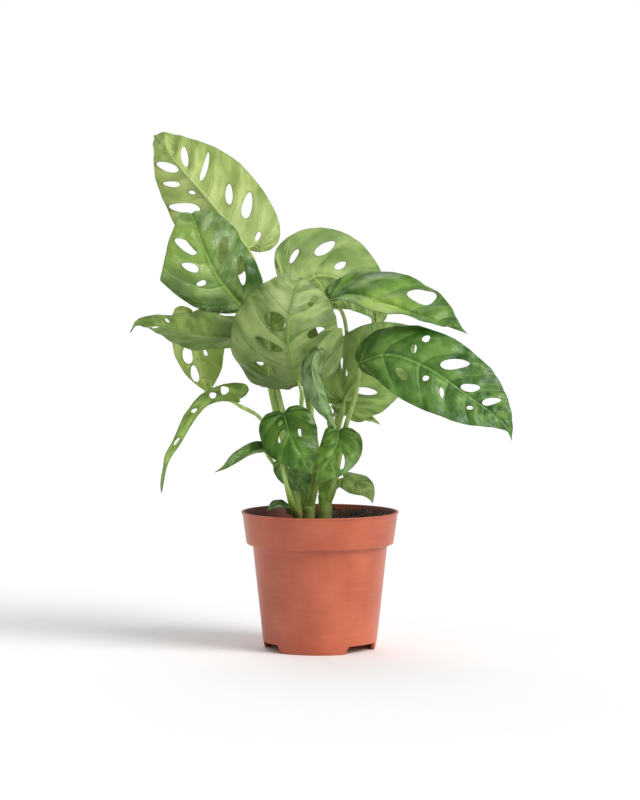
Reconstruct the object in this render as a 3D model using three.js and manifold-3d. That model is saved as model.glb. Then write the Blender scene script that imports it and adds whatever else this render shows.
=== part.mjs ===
// A young Monstera adansonii in a 12 cm plastic nursery pot.
// Units are millimetres and +Z is up. The origin is on the ground under the middle of the plant.
// Nineteen leaf blades, most of them with oval holes, stand on the petioles of three shoots that
// grow from the potting soil.

import * as THREE from 'three';
import { mergeVertices } from 'three/addons/utils/BufferGeometryUtils.js';
import Module from 'manifold-3d';

const wasm = await Module();
wasm.setup();

// ---------------------------------------------------------------- driving dimensions

const GAP = 0.3; // running clearance between pieces that touch

const POT = {
  height: 105,
  rimRadius: 60, // at the lip
  lip: 1.2, // height of the lip
  bandTop: 59.3, // outer radius of the rim band under the lip
  bandFoot: 56, // outer radius of the rim band at its lower edge
  bandHeight: 24.6,
  bodyTop: 51.5, // outer radius of the body under the band
  bodyFoot: 43.6,
  wall: 1.4,
  footHeight: 6,
  footRadius: 42.2,
  footWall: 2,
  footCount: 3,
  footSpan: 78, // degrees of the circle that one foot takes
  footTurn: -9, // degrees from the front to the middle of the front foot
  segments: 54,
};

const DRAIN = { radius: 4, ring: 27, count: 6, sides: 10 };

const SOIL = {
  top: 97.5,
  lump: 0.9, // how far the lumps rise
  rings: 8,
  sectors: 40,
  socketDepth: 30, // how deep the shoots stand in it
};

const BLADE = {
  thickness: 0.7,
  ridge: 0.9, // how far the midrib stands out under the blade at its base
  bands: 5, // across each half, from the midrib to the edge
  marginSteps: 2, // points along the edge between two side veins
  holeSides: 10,
  frames: 48,
};

const VEINS = {
  lean: 0.9, // how far towards the tip they run for each step outwards
  sweep: 0.06, // how far they bow back towards the petiole, as a share of the length
};

const PETIOLE = {
  sides: 7,
  stepLength: 16,
  endRadius: 1.25, // where it meets the blade
  approach: 42, // degrees between it and the midrib there
  straightEnd: 7,
};

const CANE = { sides: 10, petioleStart: 10 }; // the petioles start this far under its top

// ---------------------------------------------------------------- materials

const material = (color, roughness) =>
  new THREE.MeshStandardMaterial({ color, roughness, metalness: 0 });

const MATERIALS = {
  pot: material('#c4613f', 0.45),
  soil: material('#3b2c24', 0.95),
  stem: material('#86a84e', 0.5),
  deepLeaf: material('#4c7d30', 0.4),
  paleLeaf: material('#8fb05c', 0.5),
};

// ---------------------------------------------------------------- solids

// A closed geometry as a solid that can be joined and cut.
function solidOf(geometry) {
  const bare = new THREE.BufferGeometry();
  bare.setAttribute('position', geometry.getAttribute('position'));
  if (geometry.index) bare.setIndex(geometry.index);
  const merged = mergeVertices(bare, 1e-4);
  return new wasm.Manifold(new wasm.Mesh({
    numProp: 3,
    vertProperties: new Float32Array(merged.attributes.position.array),
    triVerts: new Uint32Array(merged.index.array),
  }));
}

// The largest body of a solid, as a three.js geometry.
function geometryOf(solid) {
  const bodies = solid.decompose().sort((a, b) => b.volume() - a.volume());
  const mesh = bodies[0].getMesh();
  const geometry = new THREE.BufferGeometry();
  geometry.setAttribute('position', new THREE.BufferAttribute(mesh.vertProperties.slice(), 3));
  geometry.setIndex([...mesh.triVerts]);
  geometry.computeVertexNormals();
  return geometry;
}

function pieceOf(name, geometry, look) {
  const mesh = new THREE.Mesh(geometry, look);
  mesh.name = name;
  return mesh;
}

// An upright cylinder between two heights.
function post(x, y, radius, low, high, sides) {
  const geometry = new THREE.CylinderGeometry(radius, radius, high - low, sides);
  geometry.rotateX(Math.PI / 2);
  geometry.translate(x, y, (low + high) / 2);
  return solidOf(geometry);
}

// ---------------------------------------------------------------- pot

function potProfile() {
  const p = POT;
  const bandLow = p.height - p.bandHeight;
  const floor = p.footHeight + p.wall;
  return [
    [0, p.footHeight],
    [p.footRadius - p.footWall, p.footHeight],
    [p.footRadius - p.footWall, 0],
    [p.footRadius - 0.4, 0],
    [p.footRadius, 0.6],
    [p.bodyFoot, p.footHeight + 1.5],
    [p.bodyTop, bandLow],
    [p.bandFoot - 0.8, bandLow],
    [p.bandFoot, bandLow + 0.9],
    [p.bandTop, p.height - p.lip],
    [p.rimRadius, p.height - p.lip],
    [p.rimRadius, p.height],
    [p.bandTop - p.wall, p.height],
    [p.bandFoot - p.wall, bandLow + p.wall + 0.6],
    [p.bodyTop - p.wall, bandLow - 0.4],
    [p.bodyFoot - p.wall, floor + 0.8],
    [p.bodyFoot - p.wall - 1, floor],
    [0, floor],
  ].map(([radius, height]) => new THREE.Vector2(radius, height));
}

// One gap between two feet, as a wedge that is wider at the ground.
function footGap(angle) {
  const span = 360 / POT.footCount - POT.footSpan;
  const halfTop = POT.bodyFoot * Math.tan(THREE.MathUtils.degToRad(span / 2));
  const flare = 1.8;
  const outline = new THREE.Shape([
    new THREE.Vector2(-halfTop - flare, -1),
    new THREE.Vector2(halfTop + flare, -1),
    new THREE.Vector2(halfTop, POT.footHeight + 0.2),
    new THREE.Vector2(-halfTop, POT.footHeight + 0.2),
  ]);
  const geometry = new THREE.ExtrudeGeometry(outline, { depth: 20, bevelEnabled: false });
  geometry.rotateX(Math.PI / 2);
  geometry.translate(0, -30, 0);
  geometry.rotateZ(THREE.MathUtils.degToRad(angle));
  return solidOf(geometry);
}

function makePot() {
  const turned = new THREE.LatheGeometry(potProfile(), POT.segments);
  turned.rotateX(Math.PI / 2);
  let body = solidOf(turned);
  for (let i = 0; i < POT.footCount; i++) {
    body = body.subtract(footGap(POT.footTurn + (i + 0.5) * (360 / POT.footCount)));
  }
  const floorTop = POT.footHeight + POT.wall;
  for (let i = 0; i < DRAIN.count; i++) {
    const angle = THREE.MathUtils.degToRad(POT.footTurn + (i + 0.5) * (360 / DRAIN.count));
    const x = DRAIN.ring * Math.sin(angle);
    const y = -DRAIN.ring * Math.cos(angle);
    body = body.subtract(post(x, y, DRAIN.radius, 0, floorTop + 1, DRAIN.sides));
  }
  return pieceOf('pot', geometryOf(body), MATERIALS.pot);
}

// ---------------------------------------------------------------- leaves

// rib: points that the midrib passes through, from the petiole to the tip
// face: the way that the upper side looks at the petiole; twist turns it towards the tip, in degrees
// left, right: the two halves, seen from above with the tip ahead
//   width: from the midrib to the edge at the widest place
//   lobe, widest, full, point: how far the half reaches back past the petiole, where it is widest,
//     how slowly it narrows from there, and how long its narrow tip is, as shares of the length
//   fold, curl: how far it rises at the midrib, and bends further on its way to the edge, in degrees
//   holes: [side vein before it and place up to the next one, share of the way to the edge,
//     half length along the edge in side veins, half length across in shares of the way,
//     how far its outer end leans towards the next side vein]
const LEAVES = [
  {
    name: 'leaf_back_left', look: 'paleLeaf', veins: 11, face: [0, 1, 0.1], wave: 1.5,
    rib: [[-55, 26, 304], [-89, 36, 346], [-112, 46, 372], [-122, 54, 386], [-128, 62, 392],
      [-130, 71, 392]],
    left: {
      width: 38, full: 0.6, fold: 8, curl: 10,
      holes: [[4.7, 0.33, 0.24, 0.1, -0.03], [5.58, 0.55, 0.16, 0.22, -0.06],
        [6.27, 0.43, 0.15, 0.16, 0.04], [7.41, 0.52, 0.12, 0.34, -0.11],
        [8.58, 0.44, 0.25, 0.27, 0.16]],
    },
    right: {
      width: 35, full: 0.52, fold: 8, curl: 10,
      holes: [[6.68, 0.64, 0.22, 0.31, -0.01], [7.35, 0.26, 0.09, 0.08, 0.02],
        [7.82, 0.63, 0.14, 0.22, -0.01], [8.7, 0.51, 0.26, 0.39, 0.08]],
    },
  },
  {
    name: 'leaf_left', look: 'deepLeaf', veins: 11, face: [0.1, -1, 0.3], wave: 1.5,
    rib: [[-57, -2, 259], [-78, -18, 285], [-89, -18, 309], [-97, 0, 330], [-101, 26, 325]],
    left: {
      width: 42, lobe: -0.45, widest: 0.42, full: 0, point: 0.3, fold: 14, curl: -45,
      holes: [[6.17, 0.41, 0.1, 0.1, -0.1], [6.72, 0.54, 0.19, 0.17, -0.05],
        [7.59, 0.59, 0.3, 0.28, 0.08]],
    },
    right: {
      width: 33, lobe: 0.03, full: 0.75, fold: 14, curl: -40,
      holes: [[5.41, 0.54, 0.29, 0.22, 0.14], [6.7, 0.48, 0.26, 0.24, 0.06]],
    },
  },
  {
    name: 'leaf_left_low', look: 'paleLeaf', veins: 8, face: [0, 0.85, 0.55], wave: 1.5,
    rib: [[-56, 0, 235], [-66, -8, 237], [-92, -22, 240], [-116, -32, 246], [-136, -40, 249],
      [-142, -42, 243]],
    left: { width: 28, lobe: 0.06, full: 0.4, curl: -20, holes: [[6.37, 0.54, 0.08, 0.19]] },
    right: {
      width: 26, lobe: 0.06, full: 0.4, fold: 28, curl: -10,
      holes: [[6.64, 0.54, 0.13, 0.34, -0.11]],
    },
  },
  {
    name: 'leaf_left_hanging', look: 'paleLeaf', veins: 7, face: [0, 1, 0.1], wave: 2,
    rib: [[-96, 20, 255], [-95, 28, 237], [-92, 30, 216], [-85, 24, 191]],
    left: {
      width: 22, fold: 10, curl: 20,
      holes: [[4.56, 0.58, 0.36, 0.22, -0.1], [5.5, 0.65, 0.42, 0.27, 0.06]],
    },
    right: { width: 22, full: 0.7, fold: 10, curl: 20, holes: [[4.69, 0.33, 0.12, 0.09]] },
  },
  {
    name: 'leaf_centre', look: 'paleLeaf', veins: 11, face: [0, 1, 0.4], wave: 2,
    rib: [[-15, -22, 202], [-22, -42, 224], [-24, -52, 245], [-20, -48, 265], [-16, -32, 281],
      [-13, -8, 283]],
    left: {
      width: 44, lobe: 0.06, full: 0.65, curl: 35,
      holes: [[6.66, 0.58, 0.29, 0.17], [8.31, 0.6, 0.2, 0.15, 0.14]],
    },
    right: {
      width: 46, lobe: 0.02, curl: 35,
      holes: [[5.43, 0.53, 0.29, 0.18, -0.22], [6.51, 0.37, 0.17, 0.24, -0.11],
        [7.42, 0.31, 0.31, 0.24, -0.18]],
    },
  },
  {
    name: 'leaf_back_right', look: 'paleLeaf', veins: 9, face: [0, 1, 0.2], wave: 2,
    rib: [[-22, 28, 271], [-3, 36, 283], [14, 46, 281], [32, 56, 270], [44, 62, 252], [40, 62, 238]],
    left: { width: 24, curl: 10, holes: [] },
    right: {
      width: 38, lobe: 0.04, full: 0.6, curl: 10,
      holes: [[4.29, 0.57, 0.1, 0.09], [4.81, 0.6, 0.14, 0.17, -0.03], [5.58, 0.36, 0.13, 0.13]],
    },
  },
  {
    name: 'leaf_right_high', look: 'deepLeaf', veins: 7, face: [0.1, -0.6, 0.8], wave: 2,
    rib: [[8, -2, 266], [30, -14, 269], [52, -24, 262], [79, -32, 253], [110, -36, 242]],
    left: {
      width: 35, widest: 0.45, full: 0.8, fold: 8, curl: -10,
      holes: [[4.56, 0.67, 0.38, 0.26, -0.08]],
    },
    right: { width: 24, lobe: 0.04, fold: 30, curl: -10, holes: [] },
  },
  {
    name: 'leaf_right', look: 'deepLeaf', veins: 11, face: [0, -0.8, 0.6], wave: 1.5,
    rib: [[29, -32, 219], [50, -44, 226], [77, -54, 218], [111, -62, 195], [139, -60, 173],
      [142, -58, 163]],
    left: {
      width: 31, lobe: 0.03, widest: 0.52, full: 0.7, fold: 8, curl: -20,
      holes: [[5.33, 0.67, 0.08, 0.12, -0.13], [5.54, 0.29, 0.07, 0.12, -0.11],
        [6.4, 0.46, 0.21, 0.27, -0.05], [7.63, 0.28, 0.26, 0.22, 0.04],
        [8.73, 0.45, 0.22, 0.36, -0.06]],
    },
    right: {
      width: 31, lobe: -0.12, widest: 0.42, full: 0.5, fold: 8, curl: -20,
      holes: [[5.48, 0.44, 0.18, 0.13], [6.22, 0.3, 0.09, 0.08, -0.06], [6.85, 0.42, 0.1, 0.13],
        [8.22, 0.42, 0.14, 0.09, -0.1]],
    },
  },
  {
    name: 'leaf_back_low_right', look: 'paleLeaf', veins: 8, face: [-0.1, 0.9, 0.4], wave: 1.5,
    rib: [[17, 2, 188], [24, 6, 199], [34, 14, 211], [54, 28, 231], [78, 40, 245]],
    left: { width: 36, widest: 0.5, full: 0.7, curl: 10, holes: [[4.27, 0.34, 0.14, 0.22, -0.01]] },
    right: {
      width: 32, lobe: 0.1, widest: 0.3, full: 0.5, curl: 10,
      holes: [[4.26, 0.47, 0.08, 0.21, -0.08]],
    },
  },
  {
    name: 'leaf_low_right_small', look: 'paleLeaf', veins: 5, face: [0, -0.4, 0.9], wave: 1,
    rib: [[12, 17, 179.5], [29, 21, 177], [46, 21, 170]],
    left: { width: 14, fold: 10, holes: [] },
    right: { width: 12, fold: 10, holes: [[2.5, 0.5, 0.3, 0.2]] },
  },
  {
    name: 'leaf_centre_drooping', look: 'deepLeaf', veins: 6, face: [0, -1, 0.3], wave: 1.5,
    rib: [[-2, -60, 230], [-6, -67, 219], [-4, -70, 207], [0, -69, 195], [6, -65, 182],
      [13, -60, 170]],
    left: { width: 13, fold: -50, curl: -10, holes: [[2.5, 0.5, 0.25, 0.2]] },
    right: { width: 13, fold: -50, curl: -10, holes: [[2.6, 0.4, 0.2, 0.2]] },
  },
  {
    name: 'leaf_left_arching', look: 'deepLeaf', veins: 7, face: [0, -0.1, 0.9], wave: 1,
    rib: [[-62, -24, 190], [-73, -34, 192], [-84, -39, 189], [-94, -43, 178], [-104, -49, 161],
      [-113, -53, 147], [-118, -54, 124]],
    left: {
      width: 17, lobe: 0.05, widest: 0.1, full: 0.45, fold: 60, curl: -10,
      holes: [[3.36, 0.56, 0.07, 0.3, -0.05], [3.62, 0.38, 0.07, 0.27], [4.14, 0.43, 0.08, 0.21],
        [5.22, 0.45, 0.16, 0.24]],
    },
    right: { width: 5, lobe: 0.05, widest: 0.1, fold: -5, holes: [] },
  },
  {
    name: 'leaf_front', look: 'deepLeaf', veins: 6, face: [0, -1, 0.3], wave: 1.5,
    rib: [[-27, -44, 182], [-22, -54, 166], [-14, -58, 152], [-6, -54, 137]],
    left: { width: 22, fold: 6, curl: -30, holes: [[3.75, 0.43, 0.19, 0.08, -0.03]] },
    right: { width: 22, fold: 6, curl: -30, holes: [[3.3, 0.21, 0.08, 0.1], [3.69, 0.33, 0.13, 0.2]] },
  },
  {
    name: 'leaf_front_left_rolled', look: 'deepLeaf', veins: 5, face: [0, -0.5, 0.9], wave: 0.5,
    rib: [[-41, -36, 155], [-52, -44, 152], [-63, -52, 146], [-71, -58, 142], [-78, -61, 140]],
    left: { width: 7, fold: 35, curl: 20, holes: [] },
    right: { width: 8, fold: 35, curl: 20, holes: [] },
  },
  {
    name: 'leaf_front_low', look: 'deepLeaf', veins: 5, face: [0, 1, 0.2], wave: 1,
    rib: [[-27, -28, 146], [-22, -26, 138], [-15, -26, 129], [-10, -28, 118]],
    left: { width: 12, curl: 10, holes: [] },
    right: { width: 12, curl: 10, holes: [] },
  },
  {
    name: 'leaf_front_right', look: 'deepLeaf', veins: 7, face: [0, -1, 0.3], wave: 1,
    rib: [[14, -26, 168], [12, -36, 157], [7, -42, 147], [1, -44, 137], [-4, -42, 128]],
    left: { width: 20, fold: 6, curl: -30, holes: [[4.62, 0.5, 0.32, 0.32, 0.06]] },
    right: { width: 12, fold: 6, curl: -20, holes: [] },
  },
  {
    name: 'leaf_low_right', look: 'deepLeaf', veins: 5, face: [0.2, -0.8, 0.5], wave: 0.5,
    rib: [[18, -8, 131], [27, -14, 128], [36, -20, 122], [40, -24, 113]],
    left: { width: 10, curl: -20, holes: [] },
    right: { width: 10, curl: -20, holes: [] },
  },
  {
    name: 'leaf_low_left', look: 'deepLeaf', veins: 4, face: [0, -0.5, 0.9], wave: 0.5,
    rib: [[-24, -10, 110], [-32, -15, 111], [-41, -20, 107]],
    left: { width: 6, fold: 10, holes: [] },
    right: { width: 6, fold: 10, holes: [] },
  },
  {
    name: 'leaf_back_centre', look: 'deepLeaf', veins: 8, face: [0, -1, 0.1], wave: 2,
    rib: [[-36, 14, 207], [-38, 12, 231], [-38, 13, 256], [-37, 20, 278]],
    left: { width: 24, fold: 6, curl: -20, holes: [[4.5, 0.5, 0.3, 0.25]] },
    right: { width: 38, full: 0.7, fold: 6, curl: -20, holes: [[5.5, 0.6, 0.3, 0.2]] },
  },
];

const SIDES = ['left', 'right'];

const vectorOf = ([x, y, z]) => new THREE.Vector3(x, y, z);

// The midrib with a frame carried along it: point, along (to the tip), up (upper side) and out
// (right side).
function ribOf(leaf) {
  const curve = new THREE.CatmullRomCurve3(leaf.rib.map(vectorOf), false, 'centripetal');
  const length = curve.getLength();
  const frames = [];
  let up = vectorOf(leaf.face);
  for (let i = 0; i <= BLADE.frames; i++) {
    const t = i / BLADE.frames;
    const along = curve.getTangentAt(t);
    if (i > 0) {
      const turn = new THREE.Quaternion().setFromUnitVectors(frames[i - 1].along, along);
      up = up.clone().applyQuaternion(turn);
    }
    up = up.clone().addScaledVector(along, -up.dot(along)).normalize();
    frames.push({ point: curve.getPointAt(t), along, carried: up });
  }
  frames.forEach((frame, i) => {
    const angle = THREE.MathUtils.degToRad((leaf.twist ?? 0) * (i / BLADE.frames));
    frame.up = frame.carried.clone().applyAxisAngle(frame.along, angle);
    frame.out = frame.along.clone().cross(frame.up).normalize();
  });
  return { length, frames, outlines: SIDES.map((side) => outlineOf(leaf[side])) };
}

function frameAt(rib, x) {
  const place = THREE.MathUtils.clamp(x / rib.length, 0, 1) * BLADE.frames;
  const i = Math.min(Math.floor(place), BLADE.frames - 1);
  const share = place - i;
  const mix = (key) => rib.frames[i][key].clone().lerp(rib.frames[i + 1][key], share);
  const along = mix('along').normalize();
  return {
    point: mix('point').addScaledVector(along, Math.min(x, 0)),
    along,
    up: mix('up').normalize(),
    out: mix('out').normalize(),
  };
}

// A point of the blade's middle surface: x along the midrib and y across it, right side positive.
function surfacePoint(leaf, rib, x, y) {
  const frame = frameAt(rib, x);
  const side = y < 0 ? 0 : 1;
  const half = leaf[SIDES[side]];
  const reach = Math.abs(y) / half.width;
  const fold = THREE.MathUtils.degToRad(half.fold ?? 0);
  const curl = THREE.MathUtils.degToRad(half.curl ?? 0) || 1e-6;
  const bow = half.width / curl;
  const across = bow * (Math.sin(fold + curl * reach) - Math.sin(fold));
  const phase = side ? 0 : Math.PI * 0.7;
  const ripple = leaf.wave * reach * reach * Math.sin((x / rib.length) * Math.PI * 4 + phase);
  const rise = bow * (Math.cos(fold) - Math.cos(fold + curl * reach)) + ripple;
  return frame.point
    .addScaledVector(frame.out, side ? across : -across)
    .addScaledVector(frame.up, rise);
}

// Half of the outline, from the notch at the petiole round the lobe to the tip.
// x is a share of the blade's length and y a share of its half width.
function outlineOf({ lobe = 0.1, widest = 0.3, full = 0.5, point = 0.14 }) {
  const at = (x, y) => new THREE.Vector2(x, y);
  const middle = at(widest, 1);
  const swell = at(-1.5 * Math.max(lobe, 0), 0.3);
  const taper = at(widest + full * (1 - widest), 1);
  const outline = new THREE.CurvePath();
  outline.add(new THREE.CubicBezierCurve(at(0, 0), swell, at(-1.2 * lobe, 1), middle));
  outline.add(new THREE.CubicBezierCurve(middle, taper, at(1 - point, 0.12), at(1, 0)));
  return outline;
}

// Where the side veins leave the midrib, in pairs, so that both halves share these points.
function veinStart(leaf, rib, share) {
  const starts = SIDES.map((name, side) => {
    const edge = rib.outlines[side].getPoint(share);
    return edge.x * rib.length - VEINS.lean * edge.y * leaf[name].width;
  });
  return Math.max(0, (starts[0] + starts[1]) / 2);
}

// A point of one half in the leaf's own grid: vein counts the side veins from the notch to the tip,
// and reach goes from 0 at the midrib to 1 at the edge.
function gridPoint(leaf, rib, side, vein, reach) {
  const share = THREE.MathUtils.clamp(vein / leaf.veins, 0, 1);
  const edge = rib.outlines[side].getPoint(share);
  const from = new THREE.Vector2(veinStart(leaf, rib, share), 0);
  const to = new THREE.Vector2(edge.x * rib.length, edge.y * leaf[SIDES[side]].width);
  const bend = from.clone().lerp(to, 0.5);
  bend.x -= VEINS.sweep * rib.length * edge.y * THREE.MathUtils.clamp(4 * share - 0.6, 0.15, 1);
  const point = from.clone().lerp(bend, reach).lerp(bend.clone().lerp(to, reach), reach);
  return side ? point : point.set(point.x, -point.y);
}

// A hole is egg shaped, with its wide end towards the midrib.
function holeOutline([vein, reach, along, across, lean = 0], at) {
  return Array.from({ length: BLADE.holeSides }, (_, i) => {
    const turn = (i / BLADE.holeSides) * Math.PI * 2;
    const out = Math.sin(turn);
    const swell = 1 - 0.15 * out;
    return at(vein + along * Math.cos(turn) * swell + lean * out, reach + across * out);
  });
}

// The flat pattern of one half as triangles. The strip between two side veins is cut across into
// bands, and the bands that a hole reaches into are one polygon with that hole.
function patternOf(leaf, rib, side) {
  const triangles = [];
  const bands = BLADE.bands;
  const at = (vein, reach) => gridPoint(leaf, rib, side, vein, reach);
  for (let vein = 0; vein < leaf.veins; vein++) {
    const endStrip = vein === 0 || vein === leaf.veins - 1;
    const holes = leaf[SIDES[side]].holes.filter((hole) => Math.floor(hole[0]) === vein);
    let band = 0;
    while (band < bands) {
      let next = endStrip ? bands : band + 1;
      const inside = [];
      for (const hole of holes) {
        const [, reach, , across] = hole;
        if ((reach - across) * bands < next + 0.1 && reach * bands > band) {
          inside.push(holeOutline(hole, at));
          next = Math.max(next, Math.min(Math.ceil((reach + across) * bands + 0.1), bands));
        }
      }
      const outline = stripOutline(vein, band, next, at);
      const corners = [outline, ...inside].flat();
      for (const face of THREE.ShapeUtils.triangulateShape(outline, inside)) {
        triangles.push(face.map((i) => corners[i]));
      }
      band = next;
    }
  }
  return triangles;
}

// The outline of the strip between a side vein and the next one, from one band to another.
function stripOutline(vein, low, high, at) {
  const points = [];
  for (let i = low; i <= high; i++) points.push(at(vein, i / BLADE.bands));
  if (high === BLADE.bands) {
    for (let i = 1; i < BLADE.marginSteps; i++) points.push(at(vein + i / BLADE.marginSteps, 1));
  }
  for (let i = high; i >= low; i--) points.push(at(vein + 1, i / BLADE.bands));
  return points.filter((p, i) => p.distanceTo(points[(i + 1) % points.length]) > 1e-6);
}

// The unit normal of the middle surface, on the upper side.
function normalAt(leaf, rib, x, y) {
  const step = 0.4;
  if (Math.abs(y) < 1e-6) return frameAt(rib, x).up;
  const place = (dx, dy) => surfacePoint(leaf, rib, x + dx, y + dy);
  const alongX = place(step, 0).sub(place(-step, 0));
  const out = y > 0 ? 1 : -1;
  const alongY = place(0, out * step).sub(place(0, 0)).multiplyScalar(out);
  return alongY.cross(alongX).normalize();
}

// One blade: the flat pattern bent over its midrib, with an upper and a lower skin and an edge.
function makeBlade(leaf) {
  const rib = ribOf(leaf);
  const index = new Map();
  const flat = [];
  const indexOf = (p) => {
    const key = `${Math.round(p.x * 1e4)},${Math.round(p.y * 1e4) || 0}`;
    if (!index.has(key)) {
      index.set(key, flat.length);
      flat.push(p);
    }
    return index.get(key);
  };
  const faces = [];
  for (const side of [0, 1]) {
    for (const corners of patternOf(leaf, rib, side)) {
      const [a, b, c] = corners.map(indexOf);
      if (a === b || b === c || c === a) continue;
      const turn = flat[b].clone().sub(flat[a]).cross(flat[c].clone().sub(flat[a]));
      faces.push(turn > 0 ? [a, c, b] : [a, b, c]); // y runs to the right, so this winding looks up
    }
  }
  const upper = [];
  const lower = [];
  for (const p of flat) {
    const middle = surfacePoint(leaf, rib, p.x, p.y);
    const normal = normalAt(leaf, rib, p.x, p.y);
    const onRib = Math.abs(p.y) < 1e-6;
    const ridge = onRib ? BLADE.ridge * (1 - 0.7 * Math.max(p.x, 0) / rib.length) : 0;
    upper.push(middle.clone().addScaledVector(normal, BLADE.thickness / 2));
    lower.push(middle.clone().addScaledVector(normal, -BLADE.thickness / 2 - ridge));
  }
  const count = flat.length;
  const triangles = [];
  const edges = new Map();
  for (const [a, b, c] of faces) {
    triangles.push(a, b, c, a + count, c + count, b + count);
    for (const [from, to] of [[a, b], [b, c], [c, a]]) {
      if (!edges.delete(`${to},${from}`)) edges.set(`${from},${to}`, [from, to]);
    }
  }
  for (const [from, to] of edges.values()) {
    triangles.push(to, from, from + count, to, from + count, to + count);
  }
  const geometry = new THREE.BufferGeometry();
  const points = [...upper, ...lower].flatMap((p) => [p.x, p.y, p.z]);
  geometry.setAttribute('position', new THREE.Float32BufferAttribute(points, 3));
  geometry.setIndex(triangles);
  geometry.computeVertexNormals();
  return pieceOf(leaf.name, geometry, MATERIALS[leaf.look]);
}

// ---------------------------------------------------------------- shoots

// A shoot is a short cane with the petioles that grow from it.
// cane: foot x, y, radius and the height of its top
// petioles: leaf that it carries, then the points that it passes through, from the cane
const SHOOTS = [
  {
    name: 'shoot_left', cane: [-17, -12, 3.2, 112],
    petioles: [
      {
        leaf: 'leaf_left_arching', radius: 2.6,
        path: [[-20, -14, 122], [-31, -18, 150], [-48, -24, 180]],
      },
      { leaf: 'leaf_front', radius: 2.6, path: [[-18, -14, 125], [-20, -19, 150], [-26, -32, 172]] },
      {
        leaf: 'leaf_front_left_rolled', radius: 2.6,
        path: [[-22, -14, 122], [-32, -17, 138], [-39, -26, 149]],
      },
      {
        leaf: 'leaf_front_low', radius: 2.6,
        path: [[-21, -26, 112], [-25, -40, 128], [-28, -42, 142]],
      },
      { leaf: 'leaf_low_left', radius: 2, path: [[-20, -10, 108]] },
    ],
  },
  {
    name: 'shoot_middle', cane: [-8, -3, 4.2, 116],
    petioles: [
      {
        leaf: 'leaf_back_left', radius: 4.4,
        path: [[-15, 4, 125], [-29, 15, 165], [-38, 23, 200], [-43, 26, 240], [-44, 25, 275]],
      },
      {
        leaf: 'leaf_left', radius: 3.9,
        path: [[-18, -1, 128], [-30, 4, 165], [-37, 6, 195], [-40, 4, 232], [-47, 0, 252]],
      },
      {
        leaf: 'leaf_left_low', radius: 3.5,
        path: [[-15, -5, 128], [-25, -6, 165], [-31, -6, 193], [-38, -4, 220], [-48, -1, 232]],
      },
      {
        leaf: 'leaf_left_hanging', radius: 3,
        path: [[-18, 14, 140], [-35, 29, 200], [-53, 28, 246], [-70, 14, 262]],
      },
      { leaf: 'leaf_centre', radius: 3, path: [[-9, -12, 128], [-12, -20, 160], [-14, -20, 188]] },
      { leaf: 'leaf_back_centre', radius: 2.8, path: [[-13, 8, 135], [-27, 16, 175]] },
      {
        leaf: 'leaf_centre_drooping', radius: 2.6,
        path: [[-5, -14, 132], [-6, -26, 170], [-6, -34, 192], [-4, -42, 216]],
      },
      { leaf: 'leaf_front_right', radius: 2.4, path: [[-2, -16, 130], [2, -22, 150], [6, -21, 166]] },
    ],
  },
  {
    name: 'shoot_right', cane: [4, -2, 5.2, 120],
    petioles: [
      { leaf: 'leaf_back_right', radius: 3.2, path: [[-1, 16, 140], [-12, 30, 200], [-24, 32, 245]] },
      {
        leaf: 'leaf_right_high', radius: 3.2,
        path: [[7, 12, 132], [13, 33, 170], [18, 34, 205], [20, 16, 244], [14, 4, 260]],
      },
      {
        leaf: 'leaf_right', radius: 3.4,
        path: [[9, -6, 122], [15, -9, 150], [20, -14, 172], [27, -24, 195]],
      },
      { leaf: 'leaf_back_low_right', radius: 3, path: [[9, 1, 132], [14, 4, 165]] },
      { leaf: 'leaf_low_right_small', radius: 2.6, path: [[6, 13, 130], [9, 20, 160]] },
      { leaf: 'leaf_low_right', radius: 2.2, path: [[10, -5, 122]] },
    ],
  },
];

// Where a petiole meets its blade, under the midrib just inside the notch, and the way it comes in.
function jointOf(leaf) {
  const rib = ribOf(leaf);
  const frame = frameAt(rib, 1);
  const tilt = THREE.MathUtils.degToRad(PETIOLE.approach);
  const heading = frame.along.clone().multiplyScalar(Math.cos(tilt))
    .addScaledVector(frame.up, Math.sin(tilt)).normalize();
  const pinch = Math.cos(THREE.MathUtils.degToRad(Math.min(leaf.left.fold ?? 0, 0)));
  const drop = BLADE.thickness / 2 + BLADE.ridge + PETIOLE.endRadius * Math.cos(tilt) + GAP;
  return { end: frame.point.addScaledVector(frame.up, -drop / pinch), heading };
}

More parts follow.
